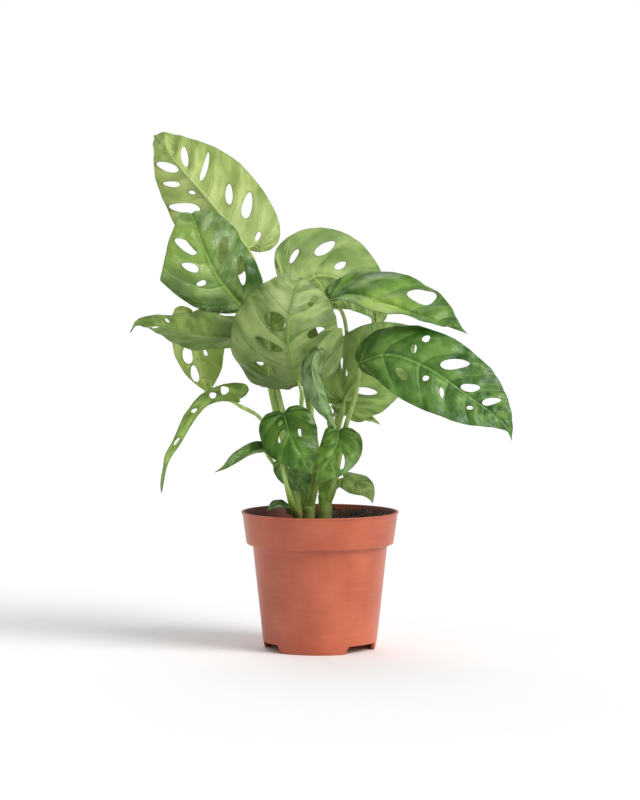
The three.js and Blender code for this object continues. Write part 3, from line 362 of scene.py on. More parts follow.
# rib: points that the midrib passes; face: the way the upper side looks at the stalk
# finish: the upper side's and the under side's; wave: height of the two waves along each edge
# halves: lobe, widest, full and point shape the outline, and halfOutline has what most of them share;
# fold and curl are in degrees
# hole: side vein, share of the way to the edge, half length in side veins, half length across, lean
leaves = [
    {
        "node": "leaf_back_left", "finish": ["glossUpper", "paleUnder"],
        "veins": 11, "face": [0, 1, 0.1], "wave": 1.5,
        "rib": [[-55, 26, 304], [-89, 36, 346], [-112, 46, 372], [-122, 54, 386], [-128, 62, 392],
                [-130, 71, 392]],
        "left": {"width": 38, "full": 0.6, "fold": 8, "curl": 10, "holes": [
            [4.7, 0.33, 0.24, 0.1, -0.03], [5.58, 0.55, 0.16, 0.22, -0.06],
            [6.27, 0.43, 0.15, 0.16, 0.04], [7.41, 0.52, 0.12, 0.34, -0.11],
            [8.58, 0.44, 0.25, 0.27, 0.16]]},
        "right": {"width": 35, "full": 0.52, "fold": 8, "curl": 10, "holes": [
            [6.68, 0.64, 0.22, 0.31, -0.01], [7.35, 0.26, 0.09, 0.08, 0.02],
            [7.82, 0.63, 0.14, 0.22, -0.01], [8.7, 0.51, 0.26, 0.39, 0.08]]},
    },
    {
        "node": "leaf_left", "finish": ["twoToneUpper", "greyUnder"],
        "veins": 11, "face": [0.1, -1, 0.3], "wave": 1.5,
        "rib": [[-57, -2, 259], [-78, -18, 285], [-89, -18, 309], [-97, 0, 330], [-101, 26, 325]],
        "left": {"width": 42, "lobe": -0.37, "widest": 0.42, "full": 0, "point": 0.3, "fold": 14,
                 "curl": -45, "holes": [[6.17, 0.41, 0.1, 0.1, -0.1], [6.72, 0.54, 0.19, 0.17, -0.05],
                                        [7.59, 0.59, 0.3, 0.28, 0.08]]},
        "right": {"width": 33, "lobe": 0.03, "full": 0.75, "fold": 14, "curl": -40, "holes": [
            [5.41, 0.54, 0.29, 0.22, 0.14], [6.7, 0.48, 0.26, 0.24, 0.06]]},
    },
    {
        "node": "leaf_left_low", "finish": ["glossUpper", "oliveUnder"],
        "veins": 8, "face": [0, 0.85, 0.55], "wave": 1.5,
        "rib": [[-56, 0, 235], [-66, -8, 237], [-92, -22, 240], [-116, -32, 246], [-136, -40, 249],
                [-142, -42, 243]],
        "left": {"width": 28, "lobe": 0.06, "full": 0.4, "curl": -20, "holes": [
            [6.37, 0.54, 0.08, 0.19]]},
        "right": {"width": 26, "lobe": 0.06, "full": 0.4, "fold": 28, "curl": -10, "holes": [
            [6.64, 0.54, 0.13, 0.34, -0.11]]},
    },
    {
        "node": "leaf_left_hanging", "finish": ["glossUpper", "freshUnder"],
        "veins": 7, "face": [0, 1, 0.1], "wave": 2,
        "rib": [[-96, 20, 255], [-95, 28, 237], [-92, 30, 216], [-85, 24, 191]],
        "left": {"width": 22, "fold": 10, "curl": 20, "holes": [
            [4.56, 0.58, 0.36, 0.22, -0.1], [5.5, 0.65, 0.42, 0.27, 0.06]]},
        "right": {"width": 22, "full": 0.7, "fold": 10, "curl": 20, "holes": [
            [4.69, 0.33, 0.12, 0.09]]},
    },
    {
        "node": "leaf_centre", "finish": ["glossUpper", "greyUnder"],
        "veins": 11, "face": [0, 1, 0.4], "wave": 2,
        "rib": [[-15, -22, 202], [-22, -42, 224], [-24, -52, 245], [-20, -48, 265], [-16, -32, 281],
                [-13, -8, 283]],
        "left": {"width": 44, "lobe": 0.06, "full": 0.65, "curl": 35, "holes": [
            [6.66, 0.58, 0.29, 0.17], [8.31, 0.6, 0.2, 0.15, 0.14]]},
        "right": {"width": 46, "lobe": 0.02, "curl": 35, "holes": [
            [5.43, 0.53, 0.29, 0.18, -0.22], [6.51, 0.37, 0.17, 0.24, -0.11],
            [7.42, 0.31, 0.31, 0.24, -0.18]]},
    },
    {
        "node": "leaf_back_right", "finish": ["glossUpper", "clearUnder"],
        "veins": 9, "face": [0, 1, 0.2], "wave": 2,
        "rib": [[-22, 28, 271], [-3, 36, 283], [14, 46, 281], [32, 56, 270], [44, 62, 252],
                [40, 62, 238]],
        "left": {"width": 24, "curl": 10, "holes": []},
        "right": {"width": 38, "lobe": 0.04, "full": 0.6, "curl": 10, "holes": [
            [4.29, 0.57, 0.1, 0.09], [4.81, 0.6, 0.14, 0.17, -0.03], [5.58, 0.36, 0.13, 0.13]]},
    },
    {
        "node": "leaf_right_high", "finish": ["yellowedUpper", "greyUnder"],
        "veins": 7, "face": [0.1, -0.6, 0.8], "wave": 2,
        "rib": [[8, -2, 266], [30, -14, 269], [52, -24, 262], [79, -32, 253], [110, -36, 242]],
        "left": {"width": 35, "widest": 0.45, "full": 0.8, "fold": 8, "curl": -10, "holes": [
            [4.56, 0.67, 0.38, 0.26, -0.08]]},
        "right": {"width": 24, "lobe": 0.04, "fold": 30, "curl": -10, "holes": []},
    },
    {
        "node": "leaf_right", "finish": ["glossUpper", "greyUnder"],
        "veins": 11, "face": [0, -0.8, 0.6], "wave": 1.5,
        "rib": [[29, -32, 219], [50, -44, 226], [77, -54, 218], [111, -62, 195], [139, -60, 173],
                [142, -58, 163]],
        "left": {"width": 31, "lobe": 0.03, "widest": 0.52, "full": 0.7, "fold": 8, "curl": -20, "holes": [
            [5.33, 0.67, 0.08, 0.12, -0.13], [5.54, 0.29, 0.07, 0.12, -0.11],
            [6.4, 0.46, 0.21, 0.27, -0.05], [7.63, 0.28, 0.26, 0.22, 0.04],
            [8.73, 0.45, 0.22, 0.36, -0.06]]},
        "right": {"width": 31, "lobe": -0.12, "widest": 0.42, "full": 0.5, "fold": 8, "curl": -20, "holes": [
            [5.48, 0.44, 0.18, 0.13], [6.22, 0.3, 0.09, 0.08, -0.06], [6.85, 0.42, 0.1, 0.13],
            [8.22, 0.42, 0.14, 0.09, -0.1]]},
    },
    {
        "node": "leaf_back_low_right", "finish": ["glossUpper", "oliveUnder"],
        "veins": 8, "face": [-0.1, 0.9, 0.4], "wave": 1.5,
        "rib": [[17, 2, 188], [24, 6, 199], [34, 14, 211], [54, 28, 231], [78, 40, 245]],
        "left": {"width": 36, "widest": 0.5, "full": 0.7, "curl": 10, "holes": [
            [4.27, 0.34, 0.14, 0.22, -0.01]]},
        "right": {"width": 32, "lobe": 0.1, "widest": 0.3, "full": 0.5, "curl": 10, "holes": [
            [4.26, 0.47, 0.08, 0.21, -0.08]]},
    },
    {
        "node": "leaf_low_right_small", "finish": ["freshUpper", "freshUnder"],
        "veins": 5, "face": [0, -0.4, 0.9], "wave": 1,
        "rib": [[12, 17, 179.5], [29, 21, 177], [46, 21, 170]],
        "left": {"width": 14, "fold": 10, "holes": []},
        "right": {"width": 12, "fold": 10, "holes": [[2.5, 0.5, 0.3, 0.2]]},
    },
    {
        "node": "leaf_centre_drooping", "finish": ["blueUpper", "oliveUnder"],
        "veins": 6, "face": [0, -1, 0.3], "wave": 1.5,
        "rib": [[-2, -60, 230], [-6, -67, 219], [-4, -70, 207], [0, -69, 195], [6, -65, 182],
                [13, -60, 170]],
        "left": {"width": 13, "fold": -50, "curl": -10, "holes": [[2.5, 0.5, 0.25, 0.2]]},
        "right": {"width": 13, "fold": -50, "curl": -10, "holes": [[2.6, 0.4, 0.2, 0.2]]},
    },
    {
        "node": "leaf_left_arching", "finish": ["greyUpper", "oliveUnder"],
        "veins": 7, "face": [0, -0.1, 0.9], "wave": 1,
        "rib": [[-62, -24, 190], [-73, -34, 192], [-84, -39, 189], [-94, -43, 178], [-104, -49, 161],
                [-113, -53, 147], [-118, -54, 124]],
        "left": {"width": 17, "lobe": 0.05, "widest": 0.1, "full": 0.45, "fold": 60, "curl": -10, "holes": [
            [3.36, 0.56, 0.07, 0.3, -0.05], [3.62, 0.38, 0.07, 0.27], [4.14, 0.43, 0.08, 0.21],
            [5.22, 0.45, 0.16, 0.24]]},
        "right": {"width": 5, "lobe": 0.05, "widest": 0.1, "fold": -5, "holes": []},
    },
    {
        "node": "leaf_front", "finish": ["deepUpper", "oliveUnder"],
        "veins": 6, "face": [0, -1, 0.3], "wave": 1.5,
        "rib": [[-27, -44, 182], [-22, -54, 166], [-14, -58, 152], [-6, -54, 137]],
        "left": {"width": 22, "fold": 6, "curl": -30, "holes": [[3.75, 0.43, 0.19, 0.08, -0.03]]},
        "right": {"width": 22, "fold": 6, "curl": -30, "holes": [
            [3.3, 0.21, 0.08, 0.1], [3.69, 0.33, 0.13, 0.2]]},
    },
    {
        "node": "leaf_front_left_rolled", "finish": ["deepUpper", "oliveUnder"],
        "veins": 5, "face": [0, -0.5, 0.9], "wave": 0.5,
        "rib": [[-41, -36, 155], [-52, -44, 152], [-63, -52, 146], [-71, -58, 142], [-78, -61, 140]],
        "left": {"width": 7, "fold": 35, "curl": 20, "holes": []},
        "right": {"width": 8, "fold": 35, "curl": 20, "holes": []},
    },
    {
        "node": "leaf_front_low", "finish": ["glossUpper", "glossUpper"],
        "veins": 5, "face": [0, 1, 0.2], "wave": 1,
        "rib": [[-27, -28, 146], [-22, -26, 138], [-15, -26, 129], [-10, -28, 118]],
        "left": {"width": 12, "curl": 10, "holes": []},
        "right": {"width": 12, "curl": 10, "holes": []},
    },
    {
        "node": "leaf_front_right", "finish": ["yellowedUpper", "greyUnder"],
        "veins": 7, "face": [0, -1, 0.3], "wave": 1,
        "rib": [[14, -26, 168], [12, -36, 157], [7, -42, 147], [1, -44, 137], [-4, -42, 128]],
        "left": {"width": 20, "fold": 6, "curl": -30, "holes": [[4.62, 0.5, 0.32, 0.32, 0.06]]},
        "right": {"width": 12, "fold": 6, "curl": -20, "holes": []},
    },
    {
        "node": "leaf_low_right", "finish": ["clearUnder", "greyUnder"],
        "veins": 5, "face": [0.2, -0.8, 0.5], "wave": 0.5,
        "rib": [[18, -8, 131], [27, -14, 128], [36, -20, 122], [40, -24, 113]],
        "left": {"width": 10, "curl": -20, "holes": []},
        "right": {"width": 10, "curl": -20, "holes": []},
    },
    {
        "node": "leaf_low_left", "finish": ["deepUpper", "oliveUnder"],
        "veins": 4, "face": [0, -0.5, 0.9], "wave": 0.5,
        "rib": [[-24, -10, 110], [-32, -15, 111], [-41, -20, 107]],
        "left": {"width": 6, "fold": 10, "holes": []},
        "right": {"width": 6, "fold": 10, "holes": []},
    },
    {
        "node": "leaf_back_centre", "finish": ["oliveUnder", "oliveUnder"],
        "veins": 8, "face": [0, -1, 0.1], "wave": 2,
        "rib": [[-36, 14, 207], [-38, 12, 231], [-38, 13, 256], [-37, 20, 278]],
        "left": {"width": 24, "fold": 6, "curl": -20, "holes": [[4.5, 0.5, 0.3, 0.25]]},
        "right": {"width": 38, "full": 0.7, "fold": 6, "curl": -20, "holes": [[5.5, 0.6, 0.3, 0.2]]},
    },
]
blade = {
    "thickness": 0.5,
    "edgeThickness": 0.28,
    "edgeBevel": 2.5,  # how far from an edge the blade gets its full thickness
    "quilt": 2.1,  # how far the blade swells up between two side veins
    "quiltWidth": 28,  # a blade with narrower halves is quilted less
    "crinkle": 1.1,
    "crinkleScale": 0.075,
    "fineCrinkleScale": 0.2,
    "edgeWave": 1.4,
    "edgeWaveFrom": 0.55,  # share of the way to the edge
    "ribHalfWidth": 1.7,
    "ribHeight": 1.0,  # below the under side, and the depth of the groove above it
    "ribGroove": 0.25,
    "veinRidge": 0.2,
    "veinGroove": 0.08,
    "veinWidth": 0.06,  # as a share of the step to the next side vein
    "veinLean": 0.9,
    "veinSweep": 0.06,
    "frames": 48,
    "steps": (0.0, 0.07, 0.22, 0.41, 0.59, 0.78, 0.93),  # places between two side veins
    "ribRows": (0.7, 1.6),  # distance from the midrib
    "rows": (0.14, 0.24, 0.34, 0.44, 0.54, 0.64, 0.74, 0.84, 0.92, 0.97),  # shares of the way to the edge
    "holeSides": 22,
    "holeMargin": 0.25,  # as a share of the hole's size
    "ribGap": 0.25,  # least distance of the points from the midrib, the kept points and each other
    "edgeGap": 0.45,
    "pointGap": 0.5,
    "notch": 0.3,  # size of the place where all the veins meet
}


# a smooth curve through all the points
def catmullPath(points, perSpan):
    points = [np.array(point, float) for point in points]
    ends = [2 * points[0] - points[1], *points, 2 * points[-1] - points[-2]]
    path = []
    for p0, p1, p2, p3 in zip(ends, ends[1:], ends[2:], ends[3:]):
        d0, d1, d2 = (max(np.linalg.norm(b - a), 1e-6) ** 0.5 for a, b in ((p0, p1), (p1, p2), (p2, p3)))
        start = ((p1 - p0) / d0 - (p2 - p0) / (d0 + d1) + (p2 - p1) / d1) * d1
        stop = ((p2 - p1) / d1 - (p3 - p1) / (d1 + d2) + (p3 - p2) / d2) * d1
        for step in range(perSpan):
            t = step / perSpan
            bend = (-3 * p1 + 3 * p2 - 2 * start - stop) * t * t + (2 * p1 - 2 * p2 + start + stop) * t ** 3
            path.append(p1 + start * t + bend)
    path.append(points[-1])
    return np.array(path)


def lengthsAlong(path):
    return np.concatenate([[0], np.cumsum(np.linalg.norm(np.diff(path, axis=0), axis=1))])


def evenPath(path, count):
    lengths = lengthsAlong(path)
    places = np.linspace(0, lengths[-1], count)
    return np.stack([np.interp(places, lengths, path[:, axis]) for axis in range(3)], 1)


def unitRows(rows):
    return rows / np.linalg.norm(rows, axis=-1, keepdims=True)


def turned(vector, axis, angle):
    return (vector * math.cos(angle) + np.cross(axis, vector) * math.sin(angle)
            + axis * np.dot(axis, vector) * (1 - math.cos(angle)))


# Two curves, from the stalk to the widest place and on to the tip, as shares of the length and the width.
def halfOutline(half):
    lobe, widest, full = half.get("lobe", 0.1), half.get("widest", 0.3), half.get("full", 0.5)
    point = half.get("point", 0.14)
    spans = (((0, 0), (-1.5 * max(lobe, 0), 0.3), (-1.2 * lobe, 1), (widest, 1)),
             ((widest, 1), (widest + full * (1 - widest), 1), (1 - point, 0.12), (1, 0)))
    t = np.linspace(0, 1, 160)[:, None]
    curve = np.vstack([np.array(a) * (1 - t) ** 3 + 3 * np.array(b) * t * (1 - t) ** 2
                       + 3 * np.array(c) * t * t * (1 - t) + np.array(d) * t ** 3 for a, b, c, d in spans])
    shares = lengthsAlong(curve)
    return shares / shares[-1], curve


# A blade bent over its midrib: flat places (x along the rib, y across, right side positive) to space.
class BladeShape:
    def __init__(self, leaf):
        self.leaf = leaf
        self.halves = (leaf["left"], leaf["right"])
        path = catmullPath(leaf["rib"], 60)
        self.length = lengthsAlong(path)[-1]
        self.points = evenPath(path, blade["frames"] + 1)
        self.along = unitRows(np.gradient(self.points, axis=0))
        self.up = self.carriedUp(np.array(leaf["face"], float))
        self.out = np.cross(self.along, self.up)
        self.outlines = [halfOutline(half) for half in self.halves]

    # the upper side's direction, carried along the rib without twist
    def carriedUp(self, up):
        ups = []
        for i, along in enumerate(self.along):
            if i:
                axis = np.cross(self.along[i - 1], along)
                size = np.linalg.norm(axis)
                if size > 1e-9:
                    up = turned(up, axis / size, math.atan2(size, self.along[i - 1] @ along))
            up = up - along * (up @ along)
            up /= np.linalg.norm(up)
            ups.append(up)
        return np.array(ups)

    # at places along the rib: its point, its direction, and which way up and right are
    def frames(self, x):
        place = np.clip(x / self.length, 0, 1) * blade["frames"]
        ticks = np.arange(blade["frames"] + 1)

        def pick(rows):
            return np.stack([np.interp(place, ticks, rows[:, axis]) for axis in range(3)], -1)

        along = unitRows(pick(self.along))
        point = pick(self.points) + along * np.minimum(x, 0)[..., None]
        return point, along, unitRows(pick(self.up)), unitRows(pick(self.out))

    # each half rises from the rib at its fold and curls on as an arc, with two waves along its edge
    def surface(self, x, y):
        point, _, up, out = self.frames(x)
        isRight = y >= 0

        def value(key):
            return np.where(isRight, self.halves[1].get(key, 0), self.halves[0].get(key, 0))

        width, fold = value("width"), np.radians(value("fold"))
        curl = np.radians(value("curl"))
        curl = np.where(np.abs(curl) < 1e-6, 1e-6, curl)
        reach = np.abs(y) / width
        across = width / curl * (np.sin(fold + curl * reach) - np.sin(fold))
        phase = np.where(isRight, 0, math.pi * 0.7)
        wave = self.leaf["wave"] * reach ** 2 * np.sin(x / self.length * math.pi * 4 + phase)
        rise = width / curl * (np.cos(fold) - np.cos(fold + curl * reach)) + wave
        return point + out * np.where(isRight, across, -across)[..., None] + up * rise[..., None]

    def normals(self, x, y):
        step = 0.4
        side = np.where(y >= 0, 1.0, -1.0)
        alongX = self.surface(x + step, y) - self.surface(x - step, y)
        alongY = (self.surface(x, y + side * step) - self.surface(x, y)) * side[..., None]
        normal = unitRows(np.cross(alongY, alongX))
        return np.where((np.abs(y) < 1e-6)[..., None], self.frames(x)[2], normal)

    def edgeAt(self, share, side):
        shares, curve = self.outlines[side]
        return np.interp(share, shares, curve[:, 0]), np.interp(share, shares, curve[:, 1])

    # the flat place on a side vein, at a share of the way from the midrib to the edge
    def flat(self, side, vein, reach):
        share = min(max(vein / self.leaf["veins"], 0), 1)
        starts = []
        for i, half in enumerate(self.halves):
            x, y = self.edgeAt(share, i)
            starts.append(x * self.length - blade["veinLean"] * y * half["width"])
        start = np.array([max(0, sum(starts) / 2), 0])
        x, y = self.edgeAt(share, side)
        stop = np.array([x * self.length, y * self.halves[side]["width"]])
        bend = (start + stop) / 2
        sweep = min(max(4 * share - 0.6, 0.15), 1)  # the first side veins sweep back less
        bend[0] -= blade["veinSweep"] * self.length * y * sweep
        toBend = start * (1 - reach) + bend * reach
        toStop = bend * (1 - reach) + stop * reach
        point = toBend * (1 - reach) + toStop * reach
        return (point[0], point[1] if side else -point[1])


def insidePolygon(places, polygon):
    x, y = places[:, 0], places[:, 1]
    inside = np.zeros(len(places), bool)
    for (ax, ay), (bx, by) in zip(polygon, np.roll(polygon, -1, axis=0)):
        if ay == by:
            continue
        crosses = (ay > y) != (by > y)
        inside ^= crosses & (x < (bx - ax) * (y - ay) / (by - ay) + ax)
    return inside


# How far a place lies outside a hole, as a share of the hole's size; less than 0 inside it.
def holeDistance(hole, vein, reach):
    _, holeVein, holeReach, along, across, lean = hole
    out = (reach - holeReach) / across
    return np.sqrt(((vein - holeVein - lean * out) / along) ** 2 + out ** 2) - 1


def distances(places, point):
    return np.hypot(places[:, 0] - point[0], places[:, 1] - point[1])


# The places of one blade: the outline and holes as loops to keep, and the points between them.
def bladePattern(shape):
    veinCount = shape.leaf["veins"]
    columns = [vein + step for vein in range(veinCount) for step in blade["steps"]] + [float(veinCount)]
    places, grid, loops, holes = [], [], [], []

    def add(side, vein, reach):
        places.append(shape.flat(side, vein, reach))
        grid.append((vein, reach))
        return len(places) - 1

    rightEdge = [add(1, vein, 1.0) for vein in columns]
    leftEdge = [add(0, vein, 1.0) for vein in columns[1:-1]]
    loops.append(rightEdge + leftEdge[::-1])
    for side, half in enumerate(shape.halves):
        for vein, reach, along, across, *lean in half["holes"]:
            lean = lean[0] if lean else 0.0
            ring = []
            for i in range(blade["holeSides"]):
                turn = i / blade["holeSides"] * math.tau
                out = math.sin(turn)
                here = vein + along * math.cos(turn) * (1 - 0.15 * out) + lean * out
                ring.append(add(side, here, reach + across * out))
            loops.append(ring)
            holes.append((side, vein, reach, along, across, lean))

    ribVeins = {}
    for vein in columns[1:-1]:
        x = shape.flat(1, vein, 0.0)[0]
        if blade["notch"] < x < shape.length - blade["notch"]:
            ribVeins[round(x, 1)] = vein
    ribPoints = [add(1, vein, 0.0) for _, vein in sorted(ribVeins.items())]
    chain = [rightEdge[0], *ribPoints, rightEdge[-1]]
    keepEdges = list(zip(chain, chain[1:]))
    for loop in loops:
        keepEdges += zip(loop, loop[1:] + loop[:1])

    kept = np.array(places)
    for side, half in enumerate(shape.halves):
        rows = [gap / half["width"] for gap in blade["ribRows"]] + list(blade["rows"])
        nearHoles = [hole for hole in holes if hole[0] == side]
        for vein in columns[1:-1]:
            for reach in rows:
                if any(holeDistance(hole, vein, reach) < blade["holeMargin"] for hole in nearHoles):
                    continue
                point = shape.flat(side, vein, reach)
                if abs(point[1]) < blade["ribGap"] or distances(kept, point).min() < blade["edgeGap"]:
                    continue
                add(side, vein, reach)

    # thin out the points that crowd together round the notch
    points = np.array(places)
    keep = np.ones(len(points), bool)
    for i in range(len(kept), len(points)):
        near = distances(points[:i], points[i]) < blade["pointGap"]
        keep[i] = not (near & keep[:i]).any()
    index = np.cumsum(keep) - 1
    edges = [(int(index[a]), int(index[b])) for a, b in keepEdges]
    polygons = [points[loop] for loop in loops]
    return points[keep], np.array(grid)[keep], edges, polygons, holes


# The middle sheet of a blade: its corners, triangles, and each corner's side vein and share to the edge.
def bladeSheet(shape):
    places, grid, edges, polygons, holes = bladePattern(shape)
    result = delaunay_2d_cdt([Vector(place) for place in places], edges, [], 0, 1e-5)
    verts, faces, origins = np.array([tuple(vert) for vert in result[0]]), np.array(result[2]), result[3]
    centres = verts[faces].mean(axis=1)
    inside = insidePolygon(centres, polygons[0])
    for hole in polygons[1:]:
        inside &= ~insidePolygon(centres, hole)
    faces = faces[inside]
    used = np.unique(faces)
    faces = np.searchsorted(used, faces)
    verts = verts[used]
    nearest = [origins[i][0] if origins[i] else int(distances(places, verts[k]).argmin())
               for k, i in enumerate(used)]
    cross = np.cross(verts[faces[:, 1]] - verts[faces[:, 0]], verts[faces[:, 2]] - verts[faces[:, 0]])
    faces[cross > 0] = faces[cross > 0][:, ::-1]
    faces = faces[np.abs(cross) > 1e-7]
    return verts[:, 0], verts[:, 1], faces, grid[nearest, 0], grid[nearest, 1], holes


# The upper and the under side, and for each corner how near it is to an edge: 0 on it, 1 well inside.
def bladeSides(shape, x, y, vein, reach, holes):
    cell = vein - np.floor(vein)
    right = np.where(y < -1e-6, 0.0, 1.0)
    middle = shape.surface(x, y)
    normal = shape.normals(x, y)

    # the blade swells between its side veins, and is crinkled and wavy towards the edge
    widest = max(half["width"] for half in shape.halves)
    swell = np.sin(math.pi * cell) ** 1.3 * np.clip(reach * 5, 0, 1) * (1 - 0.55 * reach)
    bulge = blade["quilt"] * min(1, widest / blade["quiltWidth"]) * swell
    rough = np.array([noise.noise(Vector(place) * blade["crinkleScale"])
                      + 0.5 * noise.noise(Vector(place) * blade["fineCrinkleScale"]) for place in middle])
    towardsEdge = np.clip(reach - blade["edgeWaveFrom"], 0, 1) ** 1.5
    edgeWave = blade["edgeWave"] * towardsEdge * np.sin(vein * 2.9 + right * 1.7)
    lift = bulge + blade["crinkle"] * rough * np.clip(reach * 4, 0, 1) + edgeWave

    toEdge = 1 - reach
    for hole in holes:
        away = np.maximum(holeDistance(hole, vein, reach), 0) * hole[4]
        toEdge = np.where(right == hole[0], np.minimum(toEdge, away), toEdge)
    width = np.where(right > 0, shape.halves[1]["width"], shape.halves[0]["width"])
    edge = np.clip(toEdge * width / blade["edgeBevel"], 0, 1)
    half = (blade["edgeThickness"] + (blade["thickness"] - blade["edgeThickness"]) * edge) / 2

    # the midrib and the veins stand out below, and lie in shallow grooves above
    taper = 1 - 0.75 * np.clip(x / shape.length, 0, 1)
    ribWidth = blade["ribHalfWidth"] * (0.4 + 0.6 * taper)
    rib = np.clip(1 - (np.abs(y) / ribWidth) ** 2, 0, 1) * taper
    toVein = np.minimum(cell, 1 - cell)
    ridge = np.exp(-(toVein / blade["veinWidth"]) ** 2)
    ridge *= np.clip(1 - reach, 0, 1) ** 0.6 * np.clip(np.abs(y) / 2, 0, 1)
    above = lift + half - blade["ribGroove"] * rib - blade["veinGroove"] * ridge
    below = lift - half - blade["ribHeight"] * rib - blade["veinRidge"] * ridge
    return middle + normal * above[:, None], middle + normal * below[:, None], edge


# the edges that only one triangle has, each in that triangle's own direction
def openEdges(faces):
    edges = {}
    for a, b, c in faces.tolist():
        for pair in ((a, b), (b, c), (c, a)):
            if pair[::-1] in edges:
                del edges[pair[::-1]]
            else:
                edges[pair] = True
    return list(edges)


# U counts side veins and V runs across; at the notch, where all veins meet, U follows the other corners.
def mapVeins(mesh, x, y, vein, reach):
    uvs = mesh.uv_layers.new(name="UVMap").data
    across = np.where(y < -1e-6, -reach, reach) * 0.5 + 0.5
    atNotch = (x < blade["notch"]) & (np.abs(y) < blade["notch"])
    for polygon in mesh.polygons:
        corners = [mesh.loops[i].vertex_index % len(x) for i in polygon.loop_indices]
        others = [vein[c] for c in corners if not atNotch[c]]
        for i, c in zip(polygon.loop_indices, corners):
            uvs[i].uv = (np.mean(others) if atNotch[c] and others else vein[c], across[c])


def bladeMesh(name, leaf):
    shape = BladeShape(leaf)
    x, y, faces, vein, reach, holes = bladeSheet(shape)
    upper, lower, edge = bladeSides(shape, x, y, vein, reach, holes)
    count, rim = len(x), openEdges(faces)
    walls = [(b, a, a + count, b + count) for a, b in rim]
    allFaces = faces.tolist() + (faces[:, ::-1] + count).tolist() + walls

    mesh = bpy.data.meshes.new(name)
    mesh.from_pydata(np.vstack([upper, lower]) * mm, [], allFaces)
    mesh.attributes.new("edge", "FLOAT", "POINT").data.foreach_set("value", np.tile(edge, 2))
    slots = [0] * len(faces) + [1] * (len(faces) + len(walls))
    mesh.polygons.foreach_set("material_index", slots)
    mesh.shade_smooth()
    mapVeins(mesh, x, y, vein, reach)
    sharp = {frozenset(pair) for pair in rim}
    for item in mesh.edges:
        if frozenset(i % count for i in item.vertices) in sharp:
            item.use_edge_sharp = True
    return mesh


# leaf_back_left becomes leafBackLeft
def pieceName(node):
    first, *others = node.split("_")
    return first + "".join(word.title() for word in others)


bladeShapes = {leaf["node"]: BladeShape(leaf) for leaf in leaves}
for leaf in leaves:
    leafName = pieceName(leaf["node"])
    leafPiece = addPiece(leafName, bladeMesh(leafName, leaf))
    for finish in leaf["finish"]:
        leafPiece.data.materials.append(leafMaterials[finish])
    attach(leafPiece, "root")
    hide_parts(leaf["node"])
print("leaf blades made")


# Runs a node group over a mesh, cuts the cutters out of it and leaves a plain mesh as a new piece.
def bakePiece(name, mesh, group, values, cutters=()):
    source = addPiece(name + "Source", mesh)
    modifier = source.modifiers.new("make", "NODES")
    modifier.node_group = group
    for item in group.interface.items_tree:
        if item.item_type == "SOCKET" and item.in_out == "INPUT" and item.name in values:
            modifier[item.identifier] = values[item.name]
    for cutter in cutters:
        cut = source.modifiers.new("cut", "BOOLEAN")
        cut.object = cutter
        cut.operation = "DIFFERENCE"
        cut.solver = "EXACT"
    bpy.context.view_layer.update()
    evaluated = source.evaluated_get(bpy.context.evaluated_depsgraph_get())
    finished = bpy.data.meshes.new_from_object(evaluated)
    finished.name = name
    bpy.data.objects.remove(source)
    for cutter in cutters:
        bpy.data.objects.remove(cutter)
    if cutters:  # the cut faces take the finish of the rest
        finished.materials.clear()
        finished.materials.append(values["Finish"])
        finished.polygons.foreach_set("material_index", [0] * len(finished.polygons))
    return addPiece(name, finished)


def namedField(tree, name):
    inputs = {"Name": name}
    return addNode(tree, "GeometryNodeInputNamedAttribute", inputs, data_type="FLOAT").outputs["Attribute"]


# smooths a shape, makes its instances real, gives it a finish and joins it to the tree's output
def finishTree(tree, shape, finish, result):
    smooth = addNode(tree, "GeometryNodeSetShadeSmooth", {"Geometry": shape}).outputs[0]
    whole = addNode(tree, "GeometryNodeRealizeInstances", {"Geometry": smooth}).outputs[0]
    done = addNode(tree, "GeometryNodeSetMaterial", {"Geometry": whole, "Material": finish}).outputs[0]
    tree.links.new(done, result["Geometry"])


# Chains of points with a thickness each become grooved round stalks, closed at both ends.
def makeStalkTree():
    inputs = [("Chains", "NodeSocketGeometry", None), ("Sides", "NodeSocketInt", 12),
              ("Groove", "NodeSocketFloat", 0.15), ("Finish", "NodeSocketMaterial", None)]
    tree, given, result = newShapeTree("stalks", inputs)
    curves = addNode(tree, "GeometryNodeMeshToCurve", {"Mesh": given["Chains"]}).outputs[0]
    ringInputs = {"Resolution": given["Sides"], "Radius": 1.0}
    ring = addNode(tree, "GeometryNodeCurvePrimitiveCircle", ringInputs).outputs[0]
    place = addNode(tree, "GeometryNodeInputPosition").outputs[0]
    high = rangeNode(tree, addNode(tree, "ShaderNodeSeparateXYZ", {0: place}).outputs[1], 0.55, 1.0)
    dip = mathNode(tree, "MULTIPLY", mathNode(tree, "MULTIPLY", high, given["Groove"]), -1.0)
    offset = addNode(tree, "ShaderNodeCombineXYZ", {"Y": dip}).outputs[0]
    ring = addNode(tree, "GeometryNodeSetPosition", {"Geometry": ring, "Offset": offset}).outputs[0]
    tube = addNode(tree, "GeometryNodeCurveToMesh", {
        "Curve": curves, "Profile Curve": ring, "Scale": namedField(tree, "thickness"), "Fill Caps": True})
    finishTree(tree, tube.outputs[0], given["Finish"], result)
    return tree


def chainMesh(name, chains):
    mesh = bpy.data.meshes.new(name)
    points, edges, thickness, along = [], [], [], []
    for path, radii, shares in chains:
        start = len(points)
        points += [tuple(point * mm) for point in path]
        edges += [(start + i, start + i + 1) for i in range(len(path) - 1)]
        thickness += [radius * mm for radius in radii]
        along += list(shares)
    mesh.from_pydata(points, edges, [])
    mesh.attributes.new("thickness", "FLOAT", "POINT").data.foreach_set("value", thickness)
    mesh.attributes.new("along", "FLOAT", "POINT").data.foreach_set("value", along)
    return mesh


